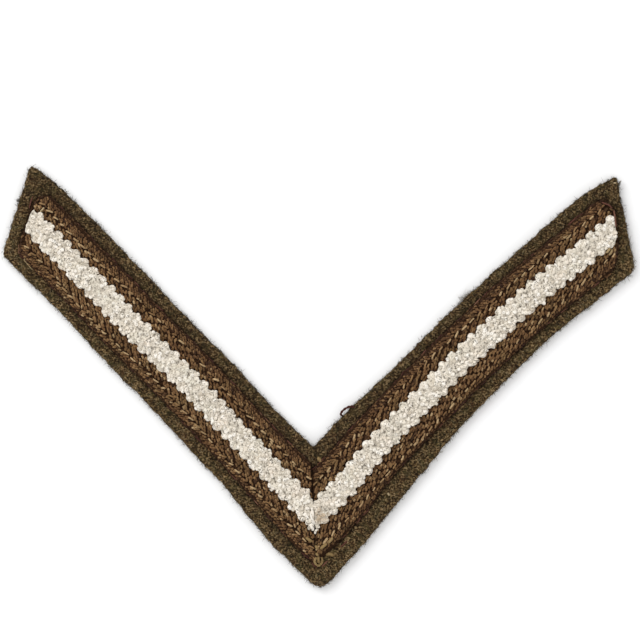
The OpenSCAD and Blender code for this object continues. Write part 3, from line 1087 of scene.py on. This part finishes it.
def add_floats(floats, arm, s, v, heading, kind, dice):
    """Floats of one kind at stations s and offsets v, laid on the lace's surface."""
    count = len(s)
    off = v - arm.middle(s)
    width = arm.half(s) - SEAT_HALF
    share = (np.abs(off) - SEAT_HALF) / width
    fall = band_height(share + LEAN_SPAN / 2) - band_height(share - LEAN_SPAN / 2)
    lean = np.sign(off) * np.clip(fall / (LEAN_SPAN * width), -MOST_LEAN, MOST_LEAN)
    up = np.concatenate([-lean[:, None] * arm.across, np.ones((count, 1))], axis=1)
    heading = heading - up * ((heading * up).sum(1) / (up * up).sum(1))[:, None]
    size = dice.normal(1, SIZE_SPREAD, (3, count)) * MM
    z = band_height(share) - (FLOAT_SINK + kind.sink - dice.normal(0, HEIGHT_SPREAD, count)) * MM
    outer, crook = arm.shades
    shade = np.where(off > 0, crook, outer)
    tone = kind.tone + dice.normal(0, TONE_SPREAD, count) + shade
    bend = dice.normal(0, BEND_SPREAD, count) * MM
    floats.add(arm.spot(s, v, z), heading, up, kind.length * size[0], kind.width * size[1],
               FLOAT_THICK * size[2], np.clip(tone, 0, 1), bend)


def turned(heading, angle):
    """Level directions turned anticlockwise."""
    c, s = np.cos(angle), np.sin(angle)
    return np.stack([c * heading[:, 0] - s * heading[:, 1], s * heading[:, 0] + c * heading[:, 1],
                     np.zeros_like(c)], axis=-1)


def walk(arm, out, pitch, start):
    """Stations, offsets and headings of even steps along a line round the lace."""
    s, v = arm.round_line(out)
    run = np.concatenate([[0], np.cumsum(np.hypot(np.diff(s), np.diff(v)))])
    steps = np.arange(start, run[-1], pitch)
    ds, dv = (np.interp(steps, run, np.gradient(x, run)) for x in (s, v))
    heading = ds[:, None] * arm.along + dv[:, None] * arm.across
    return np.interp(steps, run, s), np.interp(steps, run, v), heading


def level(off):
    """A line that keeps this far from the arm's middle."""
    return lambda s: np.full_like(s, off)


class Band:
    """One side band of a lace, whose floats go into a heap row by row. Side is -1 on the outer
    side and 1 on the side of the crook."""

    def __init__(self, floats, arm, side, dice):
        self.floats, self.arm, self.side, self.dice = floats, arm, side, dice

    def row(self, line, edge, start, kind, turn):
        """A row of floats along the whole band, one of them at station start, turned that many
        degrees from the arm. Line gives how far from the middle it runs at a station, and edge
        how far it may."""
        arm, side, dice = self.arm, self.side, self.dice
        pitch = kind.pitch * MM
        first = start - math.ceil((start + LACE_W) / pitch) * pitch
        s = np.arange(first, arm.reach + LACE_W, pitch)
        s = s + arm.drift(s) + dice.normal(0, kind.stray, len(s)) * MM
        off = line(s) + dice.normal(0, STRAY_ACROSS * kind.stray, len(s)) * MM
        v = arm.middle(s) + side * off
        inside = (s > arm.first(v) + MITRE_MARGIN) & (s < arm.last(v) - END_MARGIN)
        inside &= off < edge(s)
        s, v = s[inside], v[inside]
        heading = arm.heading(np.radians(turn + dice.normal(0, TURN_SPREAD, len(s))))
        add_floats(self.floats, arm, s, v, heading, kind, dice)

    def pale_line(self, s):
        """How far from the middle the pale stitches lie."""
        return self.arm.pale_off(self.side, s)

    def near_rows(self):
        """The twill between the stripe and the pale stitches, and the yarn that shows in the
        stripe's notches. The tape runs one way round the point, so the twill's slant is mirrored
        between the arms and not between the sides."""
        arm, side = self.arm, self.side
        for end in range(NEAR_ENDS):
            pit = arm.first_knot + arm.pits[side > 0] + arm.hand * TWILL_SHIFT * end
            for place in NEAR_FLOATS:
                self.row(level(NEAR_OFF + WARP_STEP * end),
                         lambda s: self.pale_line(s) - PALE_MARGIN,
                         pit + place * MM, NEAR, arm.hand * NEAR.slant)
        knot = arm.first_knot + side * arm.skew
        for place, off in NOTCH_FLOATS:
            self.row(level(off * MM), arm.half, knot + place * MM, NOTCH, -side * NOTCH.slant)

    def far_rows(self):
        """The pale stitches and the twill outside them."""
        self.row(self.pale_line, self.arm.half, 0, PALE, PALE.slant)
        for end in range(1, FAR_ENDS + 1):
            self.row(lambda s: self.pale_line(s) + FAR_STEP * end,
                     lambda s: self.arm.half(s) - RIM_W, end * self.arm.hand * FAR_SHIFT,
                     FAR._replace(tone=FAR.tone - FAR_FADE * end), -self.side * FAR.slant)


def lace_floats(arm, seed):
    """The floats of worsted yarn on both side bands of one lace, and along its rim."""
    dice = np.random.default_rng(seed)
    floats = Heap(GRAIN)
    for side in (-1, 1):
        band = Band(floats, arm, side, dice)
        band.near_rows()
        band.far_rows()
    s, v, heading = walk(arm, -RIM_INSET, RIM.pitch * MM, RIM_INSET)
    shown = (np.abs(v - arm.middle(s)) > SEAT_HALF) & (s > arm.first(v) + RIM_INSET)
    s, v, heading = s[shown], v[shown], heading[shown]
    turn = np.radians(RIM.slant * np.sign(v) + dice.normal(0, RIM_TURN_SPREAD, len(s)))
    ragged = dice.normal(0, RIM.stray, len(s)) * MM
    add_floats(floats, arm, s, v + ragged * np.sign(v), turned(heading, turn), RIM, dice)
    return floats.piece(f"{arm.name}_lace_floats")


# The raised stripe

# Pads are strewn no nearer to each other than the gap, nor to the stripe's edge than the margin,
# and this share of them are small loops
KNOT_GAP = 0.56 * MM
KNOT_MARGIN = 0.2 * MM
LOOP_SHARE = 0.15
Knot = namedtuple("Knot", "length width thickness low")
# Length, width and thickness, and how deep the middle sits, in millimetres
PAD = Knot(0.92, 0.76, 0.54, 0.19)
SMALL_LOOP = Knot(0.84, 0.74, 0.80, 0.22)
# Spread of the pads' sizes, slant in degrees, height in millimetres and upper side, how much they
# swell from place to place and over what length, how much paler that makes them, and their tone
# and its spread
PAD_SPREAD = 0.13
PAD_TURN_SPREAD = 28
PAD_HEIGHT_SPREAD = 0.03
PAD_TILT = 0.16
PAD_SWELL = 0.1
PAD_SWELL_LENGTH = 1.6 * MM
SWELL_TONE = 0.5
PAD_TONE = 0.6
PAD_TONE_SPREAD = 0.22
# Ridges of pads slant in from both edges and meet at the middle: how far along they move for
# each millimetre across, their height, their slant in degrees and how much paler they are
RIDGE_LEAN = 0.74
RIDGE_SWELL = 0.1 * MM
RIDGE_SLANT = 52
RIDGE_TONE = 0.13
# The core under the pads: how much lower and narrower it is, its least rise, its foot below the
# seat, and its rows and columns
CORE_SINK = 0.15 * MM
CORE_INSET = 0.25 * MM
CORE_LEAST = 0.05 * MM
CORE_FOOT = 0.1 * MM
CORE_STEP = 0.2 * MM
CORE_COLUMNS = 27
# How many small holes a square millimetre of the stripe has, their radius, their depth and how
# far they keep from its edge
HOLES_PER_MM2 = 0.6
HOLE_R = 0.26 * MM
HOLE_DEPTH = 0.3 * MM
HOLE_MARGIN = 0.4 * MM
# Beads at the edges: how far from the middle and how high above the seat, how far they keep from
# the mitre and from the end, how far they lean out, and the sizes in millimetres of the ring and
# of the lump in it
BEAD_OFF = 2.0 * MM
BEAD_RISE = 0.24 * MM
BEAD_MARGINS = (0.6 * MM, 0.8 * MM)
BEAD_LEAN = 0.28
BEAD_SIZE = (1.66, 1.36, 0.86)
LUMP_SIZE = (1.36, 1.1, 0.95)
# How far beads stray along and across in millimetres, the spread of their sizes, how far they
# turn in degrees, and their tone and its spread
BEAD_STRAY = (0.09, 0.05)
BEAD_SPREAD = 0.08
BEAD_TURN = 16
BEAD_TONE = (0.65, 0.15)
# Places that are tried for each square with sides as long as the gap
TRIES = 14
# How far the stripe's outer corner stands back from the mitre, and how far the pads do
TIP_BACK = 0.9 * MM
PADS_BACK = 0.3 * MM


def knot_wave(arm, s):
    """Wave from -1 to 1 along the stripe, whose crests are the knots at its edges."""
    return np.cos(math.tau * (s - arm.first_knot - arm.drift(s)) / KNOT_PITCH)


def ridge_wave(arm, s, off):
    """Wave from -1 to 1 whose crests are the slanting ridges of knots."""
    lag = arm.hand * RIDGE_LEAN * np.abs(off)
    return np.cos(math.tau * (s - arm.first_knot - arm.drift(s) - lag) / KNOT_PITCH)


def stripe_half(arm, s, side):
    """Half width of the scalloped stripe, on the side whose sign is given."""
    return STRIPE_W / 2 + SCALLOP * knot_wave(arm, s - np.sign(side) * arm.skew)


def stripe_first(arm, v):
    """Station at which the stripe starts at offset v: the mitre, with its outer corner blunted."""
    blunt = np.clip(-(v - arm.middle(0)) / SEAT_HALF, 0, 1) ** 3
    return arm.first(v) + TIP_BACK * blunt


def stripe_holes(arm, seed):
    """Places of one stripe's small holes between the knots."""
    dice = np.random.default_rng(seed)
    area = arm.reach * STRIPE_W / (MM * MM)
    count = int(area * HOLES_PER_MM2)
    s = dice.uniform(0, arm.reach, count)
    off = dice.uniform(-1, 1, count) * (STRIPE_W / 2 - HOLE_MARGIN)
    return np.stack([s, off], axis=-1)


def hole_depth(s, off, holes):
    """From 0, far from any hole, to 1 at a hole's middle."""
    away = np.full(s.shape, 1.0)
    for hole_s, hole_off in holes:
        near = np.hypot(s - hole_s, off - hole_off) / HOLE_R
        away = np.minimum(away, near)
    return 1 - away


def stripe_core(arm, holes):
    """The body of one stripe, under its knots, swollen and scalloped as they are."""
    count = math.ceil(arm.reach / CORE_STEP)
    share = np.linspace(-1, 1, CORE_COLUMNS)[None, :] * OUTERMOST
    run = np.linspace(0, 1, count)[:, None]
    s = np.broadcast_to(run * arm.reach, (count, share.size))
    for _ in range(FITTING_ROUNDS):
        off = (stripe_half(arm, s, share) - CORE_INSET) * share
        v = arm.middle(s) + off
        s = stripe_first(arm, v) + (arm.stripe_last(v) - stripe_first(arm, v)) * run
    hole = hole_depth(s, off, holes)
    rise = stripe_rise(np.abs(off)) + RIDGE_SWELL * ridge_wave(arm, s, off) - CORE_SINK
    rise = rise - HOLE_DEPTH * hole
    top = arm.spot(s, v, SEAT_Z + np.maximum(rise, CORE_LEAST))
    core = closed_sheet(f"{arm.name}_stripe_core", top, arm.spot(s, v, SEAT_Z - CORE_FOOT))
    shade = core.data.attributes.new("tone", "FLOAT", "POINT")
    shade.data.foreach_set("value", np.tile(1 - hole.ravel(), 2).astype(np.float32))
    return core


def strewn(length, width, gap, dice):
    """Places over a strip, spread at random but no two nearer than gap."""
    cell = gap / math.sqrt(2)
    taken = {}
    tries = int(TRIES * length * width / gap ** 2)
    for x, y in dice.random((tries, 2)) * (length, width):
        i, j = int(x / cell), int(y / cell)
        near = [taken.get((i + a, j + b)) for a in range(-2, 3) for b in range(-2, 3)]
        if all(p is None or math.hypot(p[0] - x, p[1] - y) > gap for p in near):
            taken[i, j] = (x, y)
    return np.array(list(taken.values()))


def stripe_knots(arm, holes, seed):
    """The pads and small loops of one stripe, along its slanting ridges."""
    dice = np.random.default_rng(seed)
    places = strewn(arm.reach + 2 * LACE_W, STRIPE_W + 2 * SCALLOP, KNOT_GAP, dice)
    s, off = places[:, 0] - LACE_W, places[:, 1] - SEAT_HALF
    v = arm.middle(s) + off
    inside = np.abs(off) < stripe_half(arm, s, off) - KNOT_MARGIN
    inside &= (s > stripe_first(arm, v) + PADS_BACK) & (s < arm.stripe_last(v) - KNOT_MARGIN)
    inside &= hole_depth(s, off, holes) <= 0
    s, v, off = s[inside], v[inside], off[inside]
    count = len(s)
    turn = np.radians(np.sign(off) * RIDGE_SLANT + dice.normal(0, PAD_TURN_SPREAD, count))
    ridge = ridge_wave(arm, s, off)
    rise = stripe_rise(np.abs(off)) + RIDGE_SWELL * ridge
    rise = rise + dice.normal(0, PAD_HEIGHT_SPREAD, count) * MM
    centre = arm.spot(s, v, SEAT_Z + rise)
    swell = PAD_SWELL * soft_noise(centre, PAD_SWELL_LENGTH, seed)
    size = dice.normal(1, PAD_SPREAD, (3, count)) * MM * (1 + swell)
    tone = dice.normal(PAD_TONE, PAD_TONE_SPREAD, count) + SWELL_TONE * swell
    tone = np.clip(tone + RIDGE_TONE * ridge, 0, 1)
    heading = arm.heading(turn)
    up = UP + dice.normal(0, PAD_TILT, (count, 3))
    looped = dice.random(count) < LOOP_SHARE
    pieces = []
    for name, pattern, chosen, kind in (("knots", KNOT, ~looped, PAD),
                                        ("loops", LOOP, looped, SMALL_LOOP)):
        heap = Heap(pattern)
        heap.add(centre[chosen] - (0, 0, kind.low * MM), heading[chosen], up[chosen],
                 *(kind[k] * size[k][chosen] for k in range(3)), tone[chosen])
        pieces.append(heap.piece(f"{arm.name}_stripe_{name}"))
    return pieces


def stripe_beads(arm, seed):
    """The big loops that scallop both edges of one stripe, each over a rounded lump."""
    dice = np.random.default_rng(seed)
    rings, lumps = Heap(BEAD), Heap(KNOT)
    for side in (-1, 1):
        s = arm.first_knot + KNOT_PITCH * np.arange(-5, math.ceil(arm.reach / KNOT_PITCH) + 5)
        s = s + arm.drift(s) + side * arm.skew
        s = s + dice.normal(0, BEAD_STRAY[0], len(s)) * MM
        v = arm.middle(s) + side * (BEAD_OFF + dice.normal(0, BEAD_STRAY[1], len(s)) * MM)
        inside = s > stripe_first(arm, v) + BEAD_MARGINS[0]
        inside &= s < arm.stripe_last(v) - BEAD_MARGINS[1]
        s, v = s[inside], v[inside]
        count = len(s)
        size = dice.normal(1, BEAD_SPREAD, (3, count)) * MM
        lean = np.concatenate([side * BEAD_LEAN * arm.across, [1]])
        heading = arm.heading(np.radians(dice.uniform(-BEAD_TURN, BEAD_TURN, count)))
        tone = np.clip(dice.normal(*BEAD_TONE, count), 0, 1)
        height = SEAT_Z + BEAD_RISE + dice.normal(0, PAD_HEIGHT_SPREAD, count) * MM
        centre = arm.spot(s, v, height)
        for heap, sizes in ((rings, BEAD_SIZE), (lumps, LUMP_SIZE)):
            heap.add(centre, heading, lean, *(sizes[k] * size[k] for k in range(3)), tone)
    return rings.piece(f"{arm.name}_stripe_beads"), lumps.piece(f"{arm.name}_bead_lumps")


# The stitching

STITCH_PITCH = 2.05 * MM
STITCH_LENGTH = 1.85 * MM
STITCH_W = 0.24 * MM
# Lines of stitches, of the face and of the back: 1 for up or -1 for down, their height, and how
# far along the first one lies
STITCH_LINES = ((1, FELT_T + 0.32 * MM, STITCH_PITCH / 2), (-1, 0.16 * MM, STITCH_PITCH))
# Share of the stitches that show, how far they stray along and across and in height in
# millimetres, how far they turn in degrees, the spread of their sizes, and their tone and its
# spread
STITCHES_SHOWN = 0.8
STITCH_STRAY = (0.08, 0.06, 0.05)
STITCH_TURN = 5
STITCH_SPREAD = 0.12
STITCH_TONE = (0.5, 0.25)


def stitching(seed):
    """Two lines of stitches round each lace, one on the face and one sunk in the felt's back."""
    dice = np.random.default_rng(seed)
    stitches = Heap(STITCH)
    for arm in ARMS:
        for face, z, start in STITCH_LINES:
            s, v, heading = walk(arm, STITCH_OUT, STITCH_PITCH, start)
            kept = dice.random(len(s)) < STITCHES_SHOWN
            s, v, heading = s[kept], v[kept], heading[kept]
            count = len(s)
            s = s + dice.normal(0, STITCH_STRAY[0], count) * MM
            v = v + dice.normal(0, STITCH_STRAY[1], count) * MM
            heading = turned(heading, np.radians(dice.normal(0, STITCH_TURN, count)))
            size = dice.normal(1, STITCH_SPREAD, count)
            height = z + dice.normal(0, STITCH_STRAY[2], count) * MM
            tone = np.clip(dice.normal(*STITCH_TONE, count), 0, 1)
            stitches.add(arm.spot(s, v, height), heading, face * UP,
                         STITCH_LENGTH * size, STITCH_W * size, STITCH_W, tone)
    piece = stitches.piece("edge_stitching")
    move_points(piece.data, mesh_points(piece.data))
    return piece


# Single strands, placed by the photograph's pixels

# How far strands of four points lie above the face at each, in millimetres: tan yarn, thread and
# the small bits
TAN_LIFTS = (-0.3, 0.1, 0.1, -0.25)
THREAD_LIFTS = (-0.2, 0.12, 0.12, -0.2)
BIT_LIFTS = (-0.05, 0.14, 0.14, -0.05)

Strand = namedtuple("Strand", "pixels lifts width tone turns", defaults=[0])
# A strand's pixels, how far it lies above the face at each in millimetres, its width in
# millimetres, its tone, and how often its two plies turn, which is 0 for a single one

# The white yarn pulled through the mitre, and two small loops beside its lower end
WHITE_YARNS = (
    Strand([(312.0, 507.5), (311.6, 512), (311.8, 518), (312.8, 523), (313.7, 527)],
           (-0.25, 0.05, 0.12, 0.1, -0.3), 0.86, 0.98, 1.2),
    Strand([(309.4, 524), (310.8, 526), (312, 528), (312.6, 530)],
           (-0.2, 0.12, 0.12, -0.25), 0.6, 0.8),
    Strand([(317.6, 529.4), (315.8, 530), (314.8, 531.6), (314.6, 533.6)],
           (-0.1, 0.16, 0.16, -0.2), 0.42, 0.7))

TAN_YARNS = (
    # The V over the mitre, and one below it
    Strand([(313, 543.8), (314.4, 545.2), (316, 546.8), (317.6, 548.6)], TAN_LIFTS, 0.58, 0.42),
    Strand([(326.2, 543.4), (324.2, 545), (322, 546.8), (319.8, 548.6)], TAN_LIFTS, 0.6, 0.5),
    Strand([(314.2, 552), (315.2, 553), (316.4, 554.2), (317.6, 555.6)], TAN_LIFTS, 0.5, 0.5),
    # Above the V, on its left and on its right
    Strand([(305.4, 537.4), (307.6, 538.8), (309.4, 540), (311.2, 541.4)], TAN_LIFTS, 0.6, 0.45),
    Strand([(332, 537.4), (330.8, 539.2), (329.4, 541), (328, 542.6)], TAN_LIFTS, 0.55, 0.55),
    # Along the mitre, inside the loop and above the V
    Strand([(317.8, 556.4), (317.7, 558.6), (317.8, 560.8), (318, 563)], TAN_LIFTS, 0.62, 0.4),
    Strand([(314.2, 535), (314, 538), (314.2, 541), (314.4, 543.6)], TAN_LIFTS, 0.26, 0.35),
    # The loop at the point
    Strand([(315.6, 557.2), (314.4, 559.6), (314.6, 562.8), (317.9, 565.4), (321.2, 562.6),
            (321.6, 559.2), (320.4, 556.8)],
           (-0.2, 0.15, 0.2, 0.25, 0.2, 0.15, -0.2), 0.54, 0.52, 4),
    # Beside the loop, at the mitre's upper end, and in the loop
    Strand([(325.6, 554.6), (328, 553.8), (330.6, 554.4), (332.6, 555.4)], TAN_LIFTS, 0.7, 0.42),
    Strand([(318, 457.6), (318.4, 459), (319.8, 460.6), (321, 462.2)], TAN_LIFTS, 0.75, 0.4),
    Strand([(316.6, 559), (317.2, 561), (318.6, 562.2), (319.6, 560.4)], TAN_LIFTS, 0.55, 0.4),
    # At the right arm's end
    Strand([(605.6, 252.8), (607, 251.4), (608.2, 249.6), (609, 247.6)], TAN_LIFTS, 0.5, 0.72),
    Strand([(608.4, 255), (609.8, 253.2), (610.8, 251.2), (611.2, 249)], TAN_LIFTS, 0.5, 0.66))

THREADS = (
    # Round the mitre's point
    Strand([(321, 567), (323.4, 564.4), (325.8, 562), (328.4, 559.4)], THREAD_LIFTS, 0.3, 0.85),
    Strand([(311.4, 562.4), (312.8, 564.4), (314.4, 566), (316.4, 567.4)], THREAD_LIFTS, 0.28, 0.6),
    Strand([(301, 552), (303.4, 554.4), (306, 556.6), (308.6, 558.6)], THREAD_LIFTS, 0.28, 0.4),
    Strand([(340, 547), (342.2, 545), (344.6, 542.8), (346.8, 540)], THREAD_LIFTS, 0.28, 0.7),
    # Round the left arm's end and the right arm's
    Strand([(29, 209), (29.8, 205), (31, 200.4), (33, 195.4)], THREAD_LIFTS, 0.3, 0.7),
    Strand([(601, 202.4), (604.4, 203.8), (608, 205.2), (611.4, 208.4)], THREAD_LIFTS, 0.3, 0.75),
    Strand([(612.6, 209.4), (613.6, 214), (614.4, 220), (615.2, 227)], THREAD_LIFTS, 0.32, 0.85))

# Loop of thread that sticks out of the crook's edge: pixels, and its height in millimetres at
# each. Then its width, tone and turns
THREAD_LOOP = ((343.4, 416.6, 0.8), (340.6, 414.6, 1.2), (341.2, 412, 1.8), (344.2, 409, 2.1),
               (348, 407, 2.1), (352, 406.4, 1.9), (355.2, 408.2, 1.2))
THREAD_LOOP_W = 0.5 * MM
THREAD_LOOP_TONE = 0.5
THREAD_LOOP_TURNS = 3

STRAW_BITS = (
    # The straw-coloured stitch and the cream one
    Strand([(25.2, 259), (23.6, 259.8), (26.6, 263.4), (29.6, 267), (32.2, 270)],
           (-0.05, 0.14, 0.14, 0.14, -0.05), 0.22, 0.7),
    Strand([(39.6, 212.4), (41, 210.8), (42.4, 209.2), (43.8, 207.6)], BIT_LIFTS, 0.3, 1.0),
    # The two pale specks
    Strand([(387.4, 493.2), (387.8, 493.8), (388.2, 494.4), (388.4, 495)], BIT_LIFTS, 0.4, 1.0),
    Strand([(613.2, 183.2), (613.9, 183.0), (614.6, 183.0), (615.2, 183.2)], BIT_LIFTS, 0.3, 1.0))

# The cream tuft: its pixel and height, its number of fibres, where along and beside the edge they
# start in millimetres, and the edge's slope
TUFT_PX = (468, 298)
TUFT_Z = 1.0 * MM
TUFT_FIBRES = 110
TUFT_ALONG = (-1.2, 0.2)
TUFT_BESIDE = 0.25
TUFT_SLOPE = 0.75
# Its fibres: the ways they leave in degrees, their reach in millimetres, how much they bend at
# each of their steps and rise, their width and their tones
TUFT_WAYS = (math.radians(95), math.radians(175))
TUFT_REACH = (0.5, 1.7)
TUFT_BEND = 0.5
TUFT_STEPS = 3
TUFT_RISE = 0.25
TUFT_W = 0.035 * MM
TUFT_TONES = (0.75, 1)

# Tufts that stick out of the felt's edge: pixel, way in degrees and reach in millimetres
SPURS = ((617.6, 185, 62, 0.8), (618.6, 249, 72, 1.0), (19.6, 201.2, 165, 0.7),
         (613, 180, 95, 0.4), (37, 172.5, 120, 0.4), (297, 564.5, 225, 0.4))
# Their height, number of fibres, and how far those fan out in degrees, vary in reach, rise, stray
# at the root and crimp in millimetres, their width and their tones
SPUR_Z = 1.2 * MM
SPUR_FIBRES = 14
SPUR_FAN = 16
SPUR_REACH = (0.6, 1.1)
SPUR_RISE = 0.1
SPUR_STRAY = 0.13
SPUR_CRIMP = 0.05
SPUR_W = 0.07 * MM
SPUR_TONES = (0.2, 0.7)
# Steps of one fibre, the first of them inside the felt
SPUR_STEPS = np.arange(-1, 4)


def over_face(pixels, lifts):
    """Places over pixels, each this far above the patch's face."""
    places = np.array([at_pixel(px, py, 0) for px, py in pixels])
    places[:, 2] = face_height(places) + lifts
    return places


def laid(table):
    """The strands of a table."""
    strands = Strands()
    for strand in table:
        places = over_face(strand.pixels, np.array(strand.lifts) * MM)
        if strand.turns:
            strands.twisted(places, strand.width * MM, strand.tone, strand.turns)
        else:
            strands.add(places, strand.width * MM, strand.tone)
    return strands


def thread_ends():
    """Longer lengths of the sewing thread that show round the point and the arms' ends, and the
    loop that sticks out of the crook's edge."""
    threads = laid(THREADS)
    loop = [at_pixel(px, py, height * MM) for px, py, height in THREAD_LOOP]
    threads.twisted(loop, THREAD_LOOP_W, THREAD_LOOP_TONE, THREAD_LOOP_TURNS)
    return threads.piece("thread_ends")


def cream_tuft(seed):
    """A wisp of cream fibres caught on the crook's edge of the right arm."""
    dice = np.random.default_rng(seed)
    wisp = Strands(sides=3)
    root = at_pixel(*TUFT_PX, TUFT_Z)
    for _ in range(TUFT_FIBRES):
        along, beside = dice.uniform(*TUFT_ALONG) * MM, dice.normal(0, TUFT_BESIDE) * MM
        start = root + (along, beside + along * TUFT_SLOPE, 0)
        way = dice.uniform(*TUFT_WAYS)
        reach = dice.uniform(*TUFT_REACH) * MM
        bend = dice.normal(0, TUFT_BEND)
        path = [start]
        for _ in range(TUFT_STEPS):
            way += bend
            step = np.array([math.cos(way), math.sin(way), dice.normal(0, TUFT_RISE)])
            path.append(path[-1] + reach / TUFT_STEPS * step)
        wisp.add(path, TUFT_W, dice.uniform(*TUFT_TONES))
    return wisp.piece("cream_tuft")


def edge_spurs(seed):
    """Small twisted tufts of felt that stick out of its cut edge."""
    dice = np.random.default_rng(seed)
    spurs = Strands(sides=3)
    for px, py, way, reach in SPURS:
        start = at_pixel(px, py, SPUR_Z)
        for _ in range(SPUR_FIBRES):
            angle = math.radians(way + dice.normal(0, SPUR_FAN))
            length = reach * dice.uniform(*SPUR_REACH) / SPUR_STEPS[-1] * MM
            root = start + dice.normal(0, SPUR_STRAY, 3) * MM
            step = length * np.array([math.cos(angle), math.sin(angle), SPUR_RISE])
            path = root + step * SPUR_STEPS[:, None]
            crimp = dice.normal(0, SPUR_CRIMP, path.shape) * MM
            spurs.add(path + crimp, SPUR_W, dice.uniform(*SPUR_TONES))
    return spurs.piece("edge_spurs")


# The room

FLOOR_SIDE = 3
FLOOR_Z = -0.02 * MM
# How bright the room is, and the lamp's place, side and power in watts
ROOM_LIGHT = 0.94
LAMP_PLACE = (-0.49, 0.49, 0.58)
LAMP_SIDE = 0.6
LAMP_POWER = 3.6
CAMERA_Z = 3
# Width of the camera's sensor in millimetres
SENSOR_W = 36


def studio():
    """A pale floor, soft light from the upper left, and the camera straight above."""
    bpy.ops.object.select_all(action="DESELECT")
    bpy.ops.mesh.primitive_plane_add(size=FLOOR_SIDE, location=(0, 0, FLOOR_Z))
    floor = bpy.context.object
    floor.name = "floor"
    floor.data.materials.append(floor_paper())
    world = bpy.data.worlds.new("soft_room")
    world.use_nodes = True
    world.node_tree.nodes["Background"].inputs["Color"].default_value = (1, 1, 1, 1)
    world.node_tree.nodes["Background"].inputs["Strength"].default_value = ROOM_LIGHT
    bpy.context.scene.world = world
    lamp = bpy.data.lights.new("window", "AREA")
    lamp.shape, lamp.size, lamp.energy = "SQUARE", LAMP_SIDE, LAMP_POWER
    lamp_piece = bpy.data.objects.new("window", lamp)
    lamp_piece.location = LAMP_PLACE
    lamp_piece.rotation_euler = (-lamp_piece.location).to_track_quat("-Z", "Y").to_euler()
    bpy.context.scene.collection.objects.link(lamp_piece)
    camera = bpy.data.cameras.new("camera")
    camera.sensor_width = SENSOR_W
    camera.lens = SENSOR_W * CAMERA_Z / (PHOTO_SIDE * PIXEL)
    camera.clip_start, camera.clip_end = 0.01, 10
    camera_piece = bpy.data.objects.new("camera", camera)
    camera_piece.location = at_pixel(*MIDDLE_PX, CAMERA_Z)
    bpy.context.scene.collection.objects.link(camera_piece)
    bpy.context.scene.camera = camera_piece
    bpy.context.scene.view_settings.view_transform = "Standard"


studio()

FIBRE = tail_pattern()
GRAIN = grain_pattern()
KNOT = knot_pattern()
LOOP = lift_out(loop_pattern(9, 5, 0.4))
BEAD = bead_pattern()
STITCH = stitch_pattern()

felt = dress(felt_backing(), felt_wool())
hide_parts("backing")
wool = loose_wool()
nap = [dress(felt_nap(felt, *kind), wool) for kind in NAPS]
nap.append(dress(edge_spurs(seed=14), wool))

worsted = brown_worsted()
ground = lace_ground()
cotton = white_cotton()
under_cotton = white_ground()
thread = sewing_thread()
tan = tan_yarn()
for number, arm in enumerate(ARMS):
    sheet = dress(lace_sheet(arm), ground)
    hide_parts(f"{arm.name}_lace")
    floats = dress(lace_floats(arm, seed=20 + number), worsted)
    holes = stripe_holes(arm, seed=25 + number)
    core = dress(stripe_core(arm, holes), under_cotton)
    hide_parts(f"{arm.name}_stripe")
    for piece in stripe_knots(arm, holes, seed=30 + number):
        dress(piece, cotton)
    for piece in stripe_beads(arm, seed=40 + number):
        dress(piece, cotton)
dress(stitching(seed=50), thread)
dress(thread_ends(), thread)
dress(laid(WHITE_YARNS).piece("mitre_white_yarn"), cotton)
dress(laid(TAN_YARNS).piece("tan_stitches"), tan)
dress(laid(STRAW_BITS).piece("straw_bits"), tan)
dress(cream_tuft(seed=60), cotton)
